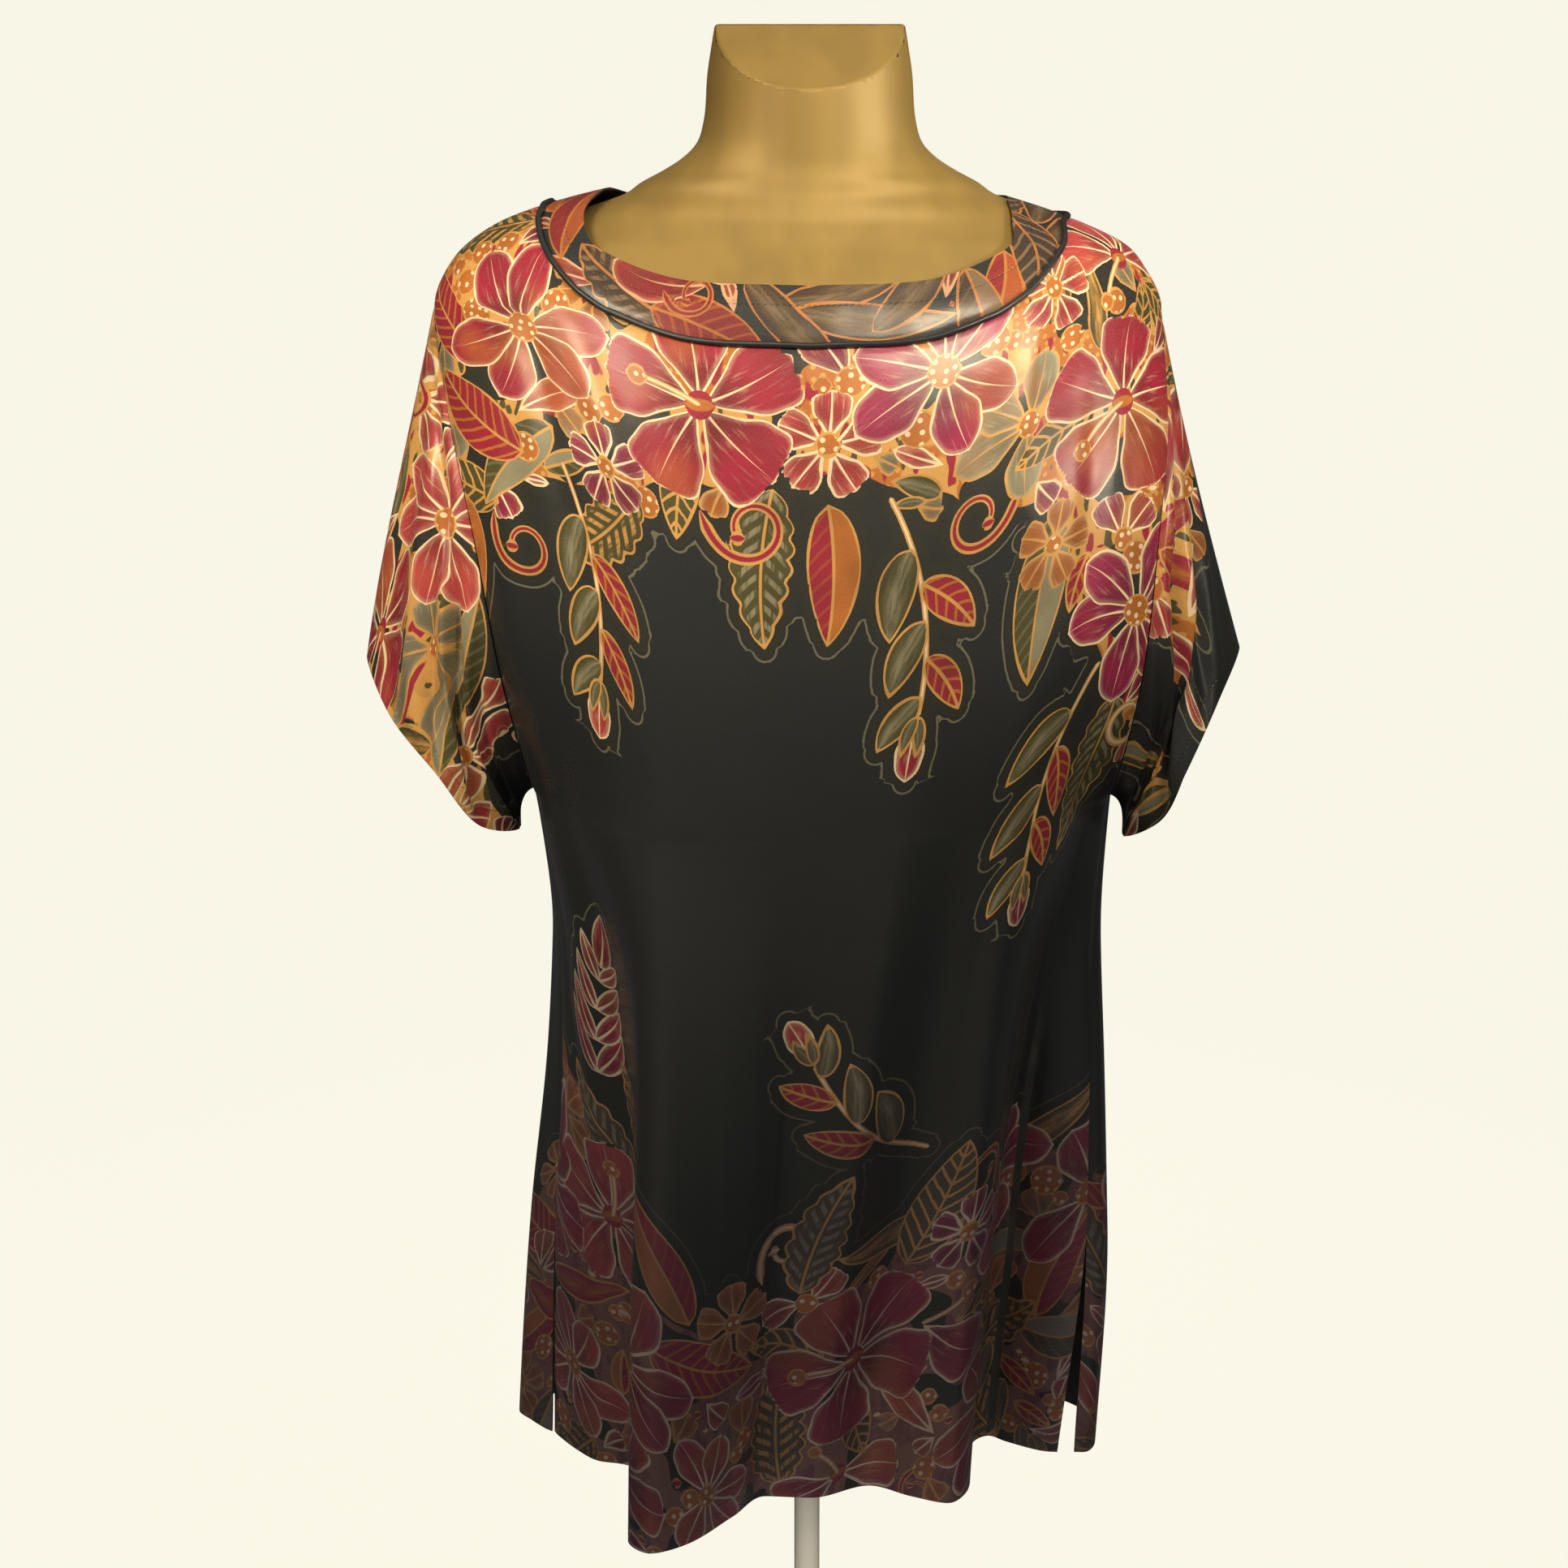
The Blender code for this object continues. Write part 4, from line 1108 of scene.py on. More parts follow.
def keep_values(piece, name, values, fallback):
    """Keeps one vector for each outer point of a piece, and a fallback for the inner ones."""
    mesh = piece.data
    full = np.tile(np.asarray(fallback, np.float32), (len(mesh.vertices), 1))
    full[: len(values)] = values
    attribute = mesh.attributes.new(name, "FLOAT_VECTOR", "POINT")
    attribute.data.foreach_set("vector", full.ravel())


def make_cloth(name, node, grid, flat, free, printed, creases=(), material=None):
    """One piece of the dress with its wall, creases, seams and print."""
    wall = bpy.context.scene.tunic_settings.wall
    material = material or made_once("printed satin", printed_satin)
    normals = surface_normals(grid)
    distance, passed = edge_places(grid, [free])
    printed.calm_small_gaps(grid.shape[:2])
    every, _ = edge_places(grid, EVERY_EDGE)
    from_seam, _ = edge_places(grid, [edge for edge in EVERY_EDGE if edge != free])
    calm = np.clip(every / CALM_EDGE, 0.0, 1.0)
    sunk = SEAM_DEPTH * np.exp(-((from_seam / SEAM_WIDTH) ** 2))
    outer = grid + normals * (relief(flat, creases) * calm - sunk)[..., None]
    inner = outer - normals * wall
    piece = cloth_mesh(name, outer, inner, [material, made_once("satin reverse", satin_reverse)])
    for layer in range(LAYERS):
        keep_values(piece, f"motif_{layer}", printed.body[layer], BARE_MOTIF)
        keep_values(piece, f"look_{layer}", printed.look[layer], BARE_LOOK)
    ground = np.stack([printed.distance, printed.inside, passed.ravel()], axis=-1)
    keep_values(piece, "ground", ground, (FAR, -1.0, 0.0))
    places = np.concatenate([printed.flat, distance.reshape(-1, 1)], axis=-1)
    keep_values(piece, "cut", places, (0.0, 0.0, FAR))
    stand_in(piece, node)


class Wires:
    """Adds nodes to one material and joins them. Inputs are sockets, numbers or colours."""

    def __init__(self, material):
        self.tree = material.node_tree
        self.nodes = self.tree.nodes

    def node(self, kind, inputs=(), **settings):
        """A new node with its settings, and with what its sockets take by name or number."""
        node = self.nodes.new(kind)
        for name, value in settings.items():
            setattr(node, name, value)
        self.feed(node, inputs)
        return node

    def feed(self, node, inputs):
        """Joins sockets of a node to other ones, or gives them numbers or colours."""
        for name, value in dict(inputs).items():
            socket = node.inputs[name]
            if isinstance(value, bpy.types.NodeSocket):
                self.tree.links.new(value, socket)
            elif hasattr(value, "__len__") and len(value) == 3 and len(socket.default_value) == 4:
                socket.default_value = (*value, 1.0)
            else:
                socket.default_value = value

    def math(self, operation, *values):
        """The result of a Math node."""
        return self.node("ShaderNodeMath", enumerate(values), operation=operation).outputs[0]

    def times(self, first, second):
        """A product."""
        return self.math("MULTIPLY", first, second)

    def scaled(self, value, scale, more):
        """A value times a scale, and more added."""
        return self.math("MULTIPLY_ADD", value, scale, more)

    def equals(self, value, number):
        """1 where a value is a whole number."""
        return self.math("COMPARE", value, float(number), 0.4)

    def step(self, value, low, high):
        """A smooth rise from 0 at low to 1 at high."""
        inputs = {"Value": value, "From Min": low, "From Max": high}
        rise = self.node("ShaderNodeMapRange", inputs, interpolation_type="SMOOTHSTEP")
        return rise.outputs["Result"]

    def mix(self, share, first, second, blend="MIX"):
        """A mix of two colours."""
        inputs = {0: share, 6: first, 7: second}
        return self.node("ShaderNodeMix", inputs, data_type="RGBA", blend_type=blend).outputs[2]

    def mix_vector(self, share, first, second):
        """A mix of two vectors."""
        inputs = {0: share, 4: first, 5: second}
        return self.node("ShaderNodeMix", inputs, data_type="VECTOR").outputs[1]

    def attribute(self, name):
        """A vector that is kept with the mesh."""
        return self.node("ShaderNodeAttribute", attribute_name=name).outputs["Vector"]

    def place(self):
        """The place in the piece's own space."""
        return self.node("ShaderNodeTexCoord").outputs["Object"]

    def parts(self, vector):
        """The three parts of a vector."""
        return self.node("ShaderNodeSeparateXYZ", {0: vector}).outputs[:3]

    def shaded(self, colour, amount):
        """A colour times a number."""
        grey = self.node("ShaderNodeCombineXYZ", {0: amount, 1: amount, 2: amount}).outputs[0]
        return self.mix(1.0, colour, grey, "MULTIPLY")

    def noise(self, vector, scale, detail=2.0, roughness=0.5):
        """Soft noise from 0 to 1."""
        inputs = {"Vector": vector, "Scale": scale, "Detail": detail, "Roughness": roughness}
        return self.node("ShaderNodeTexNoise", inputs).outputs["Fac"]

    def spots(self, cut):
        """Small round spots in uneven rows over the cut."""
        inputs = {"Vector": cut, "Scale": 1 / SPOT_SPACING, "Randomness": 0.45}
        node = self.node("ShaderNodeTexVoronoi", inputs, voronoi_dimensions="2D")
        return self.step(node.outputs["Distance"], 0.26, 0.20)

    def stretched(self, vector, scale):
        """A vector multiplied by a scale for each axis."""
        inputs = {0: vector, 1: scale}
        return self.node("ShaderNodeVectorMath", inputs, operation="MULTIPLY").outputs[0]

    def palette(self, place, colours):
        """One of a row of colours, for a place that is its number."""
        node = self.node("ShaderNodeValToRGB")
        ramp = node.color_ramp
        ramp.interpolation = "CONSTANT"
        count = len(colours)
        while len(ramp.elements) < count:
            ramp.elements.new(0.5)
        for number, (stop, colour) in enumerate(zip(ramp.elements, colours)):
            stop.position = number / count
            stop.color = (*colour, 1.0)
        self.feed(node, {0: self.scaled(place, 1 / count, 0.5 / count)})
        return node.outputs[0]

    def bump(self, height, strength, distance, normal=None):
        """A normal from a height."""
        inputs = {"Strength": strength, "Distance": distance, "Height": height}
        if normal is not None:
            inputs["Normal"] = normal
        return self.node("ShaderNodeBump", inputs).outputs["Normal"]


def made_once(name, paint, *values):
    """The material of a name, painted by a function when it is first asked for."""
    material = bpy.data.materials.get(name)
    if material is None:
        material = bpy.data.materials.new(name)
        material.use_nodes = True
        shader = material.node_tree.nodes["Principled BSDF"]
        paint(Wires(material), shader, bpy.context.scene.tunic_settings, *values)
    return material


def topmost_motif(wires):
    """Where the cloth is printed, and the place and look of the uppermost motif there."""
    body, look, covered = (0.0, 0.0, 0.0), (0.0, 0.0, 0.0), 0.0
    for layer in range(LAYERS):
        place = wires.attribute(f"motif_{layer}")
        kind = wires.attribute(f"look_{layer}")
        _, offset, width = wires.parts(place)
        inner, _, _ = wires.parts(kind)
        inside = wires.math("GREATER_THAN", width, wires.math("ABSOLUTE", offset))
        here = wires.times(inside, wires.math("GREATER_THAN", inner, -0.0015))
        body = wires.mix_vector(here, body, place)
        look = wires.mix_vector(here, look, kind)
        covered = wires.math("MAXIMUM", covered, here)
    return covered, body, look


def motif_colour(wires, body, look, cut, settings):
    """The colour inside a motif, from its place along and across its line."""
    passed, offset, width = wires.parts(body)
    inner, kind, tone = wires.parts(look)
    aside = wires.math("ABSOLUTE", offset)
    share = wires.math("DIVIDE", aside, wires.math("MAXIMUM", width, 0.0004))
    wobble = wires.math("SUBTRACT", wires.noise(cut, 170.0), 0.5)
    streaks = wires.noise(wires.stretched(body, (55.0, 420.0, 0.0)), 1.0)
    near_rib = wires.step(share, 0.75, 0.10)
    slant = wires.scaled(aside, -0.75, passed)
    bowed = wires.scaled(wires.times(share, share), -0.003, slant)
    waves = wires.scaled(wobble, 1.4, wires.times(bowed, tau / VEIN_SPACING))
    veins = wires.math("SINE", waves)
    veined = wires.step(veins, 0.55, 0.80)
    rim_light = wires.step(inner, 0.0044, 0.0012)
    heart = wires.step(passed, 0.034, 0.010)
    reach = wires.scaled(heart, 0.46, 0.10)
    petal = wires.scaled(rim_light, 0.26, wires.times(wires.step(streaks, 0.52, 0.70), reach))
    light = wires.times(near_rib, wires.step(streaks, 0.25, 0.70))
    between = wires.times(wires.step(share, 0.10, 0.22), wires.step(share, 0.84, 0.60))
    toothed = wires.times(wires.step(veins, -0.2, 0.5), between)
    toothed = wires.times(toothed, wires.step(streaks, 0.30, 0.55))
    split = wires.scaled(veined, 0.35, wires.step(offset, -0.0002, 0.0002))
    factor = 0.0
    patterns = {
        VEINED: veined,
        PETAL: petal,
        TOOTHED: toothed,
        SPLIT: split,
        DOTTED: wires.spots(cut),
        LIGHT: light,
        LINE: wires.step(share, 0.50, 0.36),
    }
    for number, pattern in patterns.items():
        factor = wires.scaled(wires.equals(kind, number), pattern, factor)
    factor = wires.math("MINIMUM", factor, 1.0)
    red, rose, plum = settings.crimson, settings.rose, settings.magenta
    gold, cream, amber = settings.gold, settings.cream, settings.amber
    olive, grey = settings.olive, settings.grey
    first = [red, plum, rose, amber, red, olive, olive, gold, gold, grey]
    second = [cream, cream, cream, cream, amber, gold, grey, cream, red, cream]
    lines = [cream, cream, cream, gold, gold, gold, gold, gold, gold, gold]
    colour = wires.mix(factor, wires.palette(tone, first), wires.palette(tone, second))
    is_petal = wires.equals(kind, PETAL)
    colour = wires.shaded(colour, wires.scaled(wires.times(heart, is_petal), -0.35, 1.0))
    glow = wires.times(wires.step(wires.noise(cut, 17.0, 1.0), 0.48, 0.68), 0.50)
    colour = wires.mix(wires.times(glow, is_petal), colour, amber)
    not_line = wires.math("SUBTRACT", 1.0, wires.equals(kind, LINE))
    taper = wires.times(passed, wires.scaled(is_petal, 0.016, 0.002))
    rib = wires.times(wires.step(wires.math("ADD", aside, taper), 0.0011, 0.0007), not_line)
    rib = wires.times(rib, wires.math("LESS_THAN", kind, SPLIT + 0.5))
    line_width = wires.times(wobble, 0.0007)
    brushed = wires.scaled(wires.noise(cut, 38.0, 1.0), 2.0, -0.05)
    line_width = wires.scaled(brushed, settings.outline, line_width)
    from_rim = wires.math("MINIMUM", inner, wires.math("SUBTRACT", width, aside))
    rim = wires.times(wires.math("LESS_THAN", from_rim, line_width), not_line)
    colour = wires.mix(wires.math("MAXIMUM", rib, rim), colour, wires.palette(tone, lines))
    return wires.shaded(colour, wires.math("ADD", wires.noise(cut, 28.0), 0.46))


def ground_colour(wires, cut, settings):
    """The cloth between the motifs: gold where it is crowded, black with an echo line beyond."""
    away, inside, _ = wires.parts(wires.attribute("ground"))
    patches = wires.noise(cut, 22.0, 1.0)
    torn = wires.scaled(patches, 0.03, wires.math("SUBTRACT", inside, 0.024))
    near = wires.math("LESS_THAN", away, 0.0062)
    filled = wires.times(wires.math("GREATER_THAN", torn, 0.0), near)
    filled = wires.times(filled, wires.math("LESS_THAN", patches, 0.57))
    spotted = wires.mix(wires.spots(cut), settings.amber, settings.gold)
    warm = wires.mix(wires.step(wires.noise(cut, 30.0, 1.0), 0.50, 0.53), settings.gold, spotted)
    strokes = wires.noise(wires.stretched(cut, (110.0, 40.0, 0.0)), 1.0, 1.0)
    warm = wires.mix(wires.step(strokes, 0.60, 0.64), warm, settings.crimson)
    warm = wires.mix(wires.step(strokes, 0.36, 0.345), warm, settings.olive)
    halo = wires.step(away, 0.0060, 0.0040)
    black = wires.mix(halo, settings.black, settings.halo)
    waver = wires.scaled(wires.noise(cut, 60.0), 0.0012, -0.0006)
    echo = wires.math("SUBTRACT", wires.math("ADD", away, waver), ECHO_DISTANCE)
    echo = wires.times(wires.step(wires.math("ABSOLUTE", echo), 0.00075, 0.00045), 0.55)
    echo = wires.times(echo, wires.step(inside, 0.012, 0.004))
    dark = wires.mix(echo, black, settings.grey)
    return filled, wires.mix(filled, dark, warm)


def cloth_shader(wires, shader, colour, cut, stitch_depth):
    """Joins a colour to a satin shader with its weave, soft crumple and stitches."""
    threads = wires.stretched(cut, (2600.0, 700.0, 0.0))
    weave = wires.noise(threads, 1.0, 1.0)
    _, _, up = wires.parts(wires.place())
    lively = wires.scaled(wires.step(up, 0.72, 0.84), 1.3, 1.0)
    crumple = wires.times(wires.noise(cut, 16.0, 2.0, 0.4), lively)
    _, _, from_edge = wires.parts(cut)
    _, _, run = wires.parts(wires.attribute("ground"))
    beat = wires.math("SINE", wires.times(run, tau / STITCH_LENGTH))
    off_row = wires.math("ABSOLUTE", wires.math("SUBTRACT", from_edge, stitch_depth))
    row = wires.step(off_row, 0.0007, 0.0002)
    stitches = wires.times(row, wires.step(beat, -0.5, 0.3))
    normal = wires.bump(crumple, 0.35, 0.004)
    normal = wires.bump(weave, 0.16, 0.0004, normal)
    normal = wires.bump(stitches, 0.5, -0.0005, normal)
    inputs = {
        "Base Color": wires.mix(wires.times(stitches, 0.35), colour, (0.004, 0.004, 0.004)),
        "Roughness": wires.scaled(weave, 0.12, 0.22),
        "Specular IOR Level": 0.46,
        "Sheen Weight": 0.02,
        "Sheen Roughness": 0.4,
        "Normal": normal,
    }
    wires.feed(shader, inputs)


def printed_satin(wires, shader, settings, painted_shade_tint=(1.0, 1.0, 1.0)):
    """Black satin with its print, from the values kept with each piece, with painted shade
    darkening it towards the hem.
    """
    cut = wires.attribute("cut")
    covered, body, look = topmost_motif(wires)
    ink = motif_colour(wires, body, look, cut, settings)
    filled, ground = ground_colour(wires, cut, settings)
    _, _, up = wires.parts(wires.place())
    # Painted shade: from 0.64 m down to 0.36 m the print darkens towards the hem, standing in for
    # light that falls off downward; there the gold ground also turns dark maroon and printed parts
    # get a faint lift
    low = wires.step(up, 0.64, 0.36)
    muted = wires.times(wires.times(low, filled), 0.75)
    colour = wires.mix(covered, wires.mix(muted, ground, (0.17, 0.08, 0.085)), ink)
    # Painted shade: the colour is multiplied by a tint up high (darker on the neck band) and by a
    # dark falloff colour low down
    painted_falloff = wires.mix(low, painted_shade_tint, (0.31, 0.32, 0.42))
    colour = wires.mix(1.0, colour, painted_falloff, "MULTIPLY")
    lifted = wires.times(low, wires.math("MAXIMUM", covered, filled))
    colour = wires.mix(lifted, colour, (0.028, 0.020, 0.026), "ADD")
    colour = wires.mix(1.0, colour, settings.black, "LIGHTEN")
    cloth_shader(wires, shader, colour, cut, settings.hem)


def satin_reverse(wires, shader, settings):
    """The dull inside of the satin, where the print shows only faintly."""
    place = wires.place()
    faint = wires.step(wires.noise(place, 30.0, 3.0), 0.50, 0.62)
    colour = wires.mix(wires.times(faint, 0.25), settings.black, settings.brown)
    weave = wires.noise(wires.stretched(place, (1400.0, 1400.0, 500.0)), 1.0, 1.0)
    rough, normal = wires.scaled(weave, 0.15, 0.62), wires.bump(weave, 0.2, 0.0004)
    wires.feed(shader, {"Base Color": colour, "Roughness": rough, "Normal": normal})


def black_satin(wires, shader, settings):
    """The plain satin that covers the piping cord."""
    run, round_it, _ = wires.parts(wires.attribute("cut"))
    slant = wires.scaled(round_it, 1.1, run)
    weave = wires.math("SINE", wires.times(slant, tau / TWILL))
    patches = wires.noise(wires.place(), 90.0)
    colour = wires.mix(patches, settings.black, (0.02, 0.02, 0.021))
    rough, normal = wires.scaled(patches, 0.16, 0.16), wires.bump(weave, 0.25, 0.0002)
    wires.feed(shader, {"Base Color": colour, "Roughness": rough, "Normal": normal})


def gold_shell(wires, shader, settings):
    """The satin-smooth gold paint of the form, with faint upright streaks and scuffs."""
    place = wires.place()
    streaks = wires.noise(wires.stretched(place, (46.0, 46.0, 1.6)), 1.0, 2.0, 0.5)
    grain = wires.noise(place, 900.0, 2.0)
    deep = tuple(0.84 * value for value in settings.form_gold)
    colour = wires.mix(wires.step(streaks, 0.3, 0.7), deep, settings.form_gold)
    rough = wires.scaled(streaks, 0.08, 0.48)
    normal = wires.bump(grain, 0.05, 0.0004, wires.bump(streaks, 0.05, 0.002))
    inputs = {"Base Color": colour, "Roughness": rough, "Metallic": 0.25, "Normal": normal}
    wires.feed(shader, inputs)


def ivory_paint(wires, shader, settings):
    """Fine powder paint on the stand, with a slight orange-peel surface."""
    place = wires.place()
    peel = wires.noise(place, 420.0, 2.0)
    soft = wires.noise(place, 9.0, 2.0)
    shade = tuple(0.93 * value for value in settings.ivory)
    colour = wires.mix(soft, shade, settings.ivory)
    rough, normal = wires.scaled(soft, 0.12, 0.36), wires.bump(peel, 0.12, 0.0006)
    wires.feed(shader, {"Base Color": colour, "Roughness": rough, "Normal": normal})


def studio_paper(wires, shader, settings):
    """Matt paper that glows evenly, so that the floor and backdrop have one tone."""
    inputs = {
        "Base Color": tuple(0.05 * value for value in settings.paper),
        "Roughness": 0.9,
        "Specular IOR Level": 0.0,
        "Emission Color": settings.paper,
        "Emission Strength": 0.985,
        "Normal": wires.bump(wires.noise(wires.place(), 240.0), 0.05, 0.0008),
    }
    wires.feed(shader, inputs)


def rounded(ring, corners):
    """A closed ring of points or normals, smoothed near its corners."""
    for corner in corners:
        near = (np.arange(-CORNER_REACH, CORNER_REACH + 1) + corner) % len(ring)
        for _ in range(CORNER_ROUNDS):
            beside = np.roll(ring, 1, axis=0) + np.roll(ring, -1, axis=0)
            ring[near] = ring[near] / 2 + beside[near] / 4
    return ring


def piping_tube(points, normals):
    """A closed tube round a ring of points, with its length and turn kept for the weave."""
    along_ring = unit(np.roll(points, -1, axis=0) - np.roll(points, 1, axis=0))
    aside = unit(np.cross(along_ring, normals))
    out = unit(np.cross(aside, along_ring))
    angles = tau * np.arange(PIPING_SIDES) / PIPING_SIDES
    rings = (
        points[:, None]
        + PIPING_RADIUS * np.cos(angles)[None, :, None] * out[:, None]
        + PIPING_RADIUS * np.sin(angles)[None, :, None] * aside[:, None]
    )
    index = np.arange(len(points) * PIPING_SIDES).reshape(len(points), PIPING_SIDES)
    after, beside = np.roll(index, -1, axis=0), np.roll(index, -1, axis=1)
    both = np.roll(after, -1, axis=1)
    faces = np.stack([index, after, both, beside], axis=-1).reshape(-1, 4).tolist()
    mesh = new_mesh("piping_cord", rings, faces, made_once("black satin", black_satin))
    piece = add("piping_cord", mesh)
    run = run_along(points, 0)[:, None]
    places = np.stack(np.broadcast_arrays(run, PIPING_RADIUS * angles[None], 0.0), axis=-1)
    keep_values(piece, "cut", places.reshape(-1, 3), (0.0, 0.0, 0.0))
    return piece


def stacked_rings(name, rings, material):
    """A smooth closed mesh through rings of points, from the lowest one up."""
    index = np.arange(rings[..., 0].size).reshape(rings.shape[:2])
    beside = np.roll(index, -1, axis=1)
    quads = np.stack([index[:-1], beside[:-1], beside[1:], index[1:]], axis=-1)
    faces = quads.reshape(-1, 4).tolist() + [index[0, ::-1].tolist(), index[-1].tolist()]
    return new_mesh(name, rings, faces, material)


def lathe(name, node, profile, sides):
    """A turned piece of the stand from radius and height pairs, closed at the axis."""
    radius, height = np.array(profile).T[..., None]
    angles = tau * np.arange(sides) / sides
    around = [radius * np.cos(angles), radius * np.sin(angles), height + 0 * angles]
    mesh = stacked_rings(name, np.stack(around, axis=-1), made_once("ivory paint", ivory_paint))
    mesh.set_sharp_from_angle(angle=radians(40.0))
    stand_in(add(name, mesh), node)


def tint(name, description, *colour):
    """A colour that a user can change."""
    return FloatVectorProperty(name=name, description=description, default=colour, subtype="COLOR")


class TunicSettings(bpy.types.PropertyGroup):
    """Sizes and colours of the dress, its form and its stand."""

    wall: FloatProperty(
        name="Cloth wall",
        description="Thickness of the satin wall",
        default=0.0010,
        min=0.0004,
        max=0.0015,
        unit="LENGTH",
    )
    outline: FloatProperty(
        name="Outline",
        description="Width of the light line round each printed motif",
        default=0.0014,
        unit="LENGTH",
    )
    hem: FloatProperty(
        name="Hem",
        description="Distance of the hem stitches from the cloth's free edges",
        default=0.012,
        unit="LENGTH",
    )
    seed: IntProperty(name="Print seed", description="Layout of the small motifs", default=11)
    black: tint("Black", "Ground of the satin", 0.0245, 0.0262, 0.0256)
    halo: tint("Halo", "Dark olive round the motifs", 0.034, 0.033, 0.018)
    crimson: tint("Crimson", "Petals and bands", 0.345, 0.018, 0.046)
    magenta: tint("Magenta", "Cooler petals", 0.32, 0.015, 0.078)
    rose: tint("Rose", "Lighter petals", 0.50, 0.065, 0.065)
    amber: tint("Amber", "Dotted parts", 0.50, 0.165, 0.035)
    gold: tint("Gold", "Lines and bands", 0.66, 0.350, 0.098)
    cream: tint("Cream", "Outlines", 0.93, 0.71, 0.45)
    olive: tint("Olive", "Green leaves", 0.090, 0.080, 0.030)
    grey: tint("Grey", "Lights on the leaves", 0.29, 0.26, 0.16)
    brown: tint("Brown", "Dim flowers", 0.10, 0.075, 0.060)
    form_gold: tint("Form gold", "Paint of the form", 0.315, 0.205, 0.052)
    ivory: tint("Ivory", "Paint of the stand", 0.83, 0.79, 0.68)
    paper: tint("Backdrop", "Floor and backdrop", 0.947, 0.922, 0.800)


class TUNIC_OT_panels(bpy.types.Operator):
    """Make the front and back panels with their print"""

    bl_idname = "object.tunic_panels"
    bl_label = "Front and back panels"

    def execute(self, context):
        settings = context.scene.tunic_settings
        for number, side in enumerate(("front", "back")):
            grid = body_surface(side, None, PIPING_HEIGHT, PANEL_COLUMNS, PANEL_ROWS)
            level = int(np.abs(grid[:, PANEL_COLUMNS // 2, 2] - CUT_LEVEL).argmin())
            flat = flat_places(grid, PANEL_COLUMNS // 2, level)
            flat[..., 1] += CUT_LEVEL
            printed = Print(flat, crowded(side, flat))
            place_motifs(printed, MOTIFS[side])
            fill_print(printed, settings.seed + number)
            make_cloth(f"{side}_panel", side, grid, flat, "bottom", printed, CREASES[side])
        return {"FINISHED"}


class TUNIC_OT_sleeves(bpy.types.Operator):
    """Make both sleeves with their print"""

    bl_idname = "object.tunic_sleeves"
    bl_label = "Sleeves"

    def execute(self, context):
        settings = context.scene.tunic_settings
        for number, side in enumerate(("left", "right")):
            grid = sleeve_surface(side)
            flat = flat_places(grid, SLEEVE_TURNS // 2, 0)
            below = SLEEVE_PRINT_LENGTH[side] - flat[..., 1]
            inside = np.minimum(below, SLEEVE_PRINT_WIDTH - np.abs(flat[..., 0]))
            printed = Print(unrolled(grid, flat), inside)
            fill_print(printed, settings.seed + SLEEVE_SEED + number)
            node = f"sleeve_{side}"
            make_cloth(f"{node}_cloth", node, grid, flat, "top", printed, CREASES[side])
        return {"FINISHED"}


class TUNIC_OT_neck(bpy.types.Operator):
    """Make the neck band and the piping round it"""

    bl_idname = "object.tunic_neck"
    bl_label = "Neck band and piping"

    def execute(self, context):
        settings = context.scene.tunic_settings
        seams = []
        for number, side in enumerate(("front", "back")):
            size = (BAND_COLUMNS, BAND_ROWS)
            grid = body_surface(side, PIPING_HEIGHT, OPENING_HEIGHT, *size)
            flat = flat_places(grid, BAND_COLUMNS // 2, 0)
            printed = Print(unrolled(grid, flat), 0 * flat[..., 0] + BAND_INSIDE)
            fill_print(printed, settings.seed + BAND_SEED + number, BAND_FILLERS)
            printed.inside[:] = BAND_GROUND
            # The band's satin is the print made darker and warmer all over as painted shade, since
            # the band faces up into the lamps
            satin = made_once("neck band satin", printed_satin, BAND_PAINTED_SHADE)
            node = f"neck_band_{side}"
            make_cloth(f"band_{side}", node, grid, flat, "top", printed, material=satin)
            seams.append((grid[0], surface_normals(grid)[0]))
        (front, front_out), (back, back_out) = seams
        corners = (0, len(front) - 1)
        points = rounded(np.concatenate([front, back[1:-1]]), corners)
        normals = unit(rounded(np.concatenate([front_out, back_out[1:-1]]), corners))
        line = points + normals * (PIPING_RADIUS - PIPING_SUNK)
        stand_in(piping_tube(line, normals), "piping")
        return {"FINISHED"}


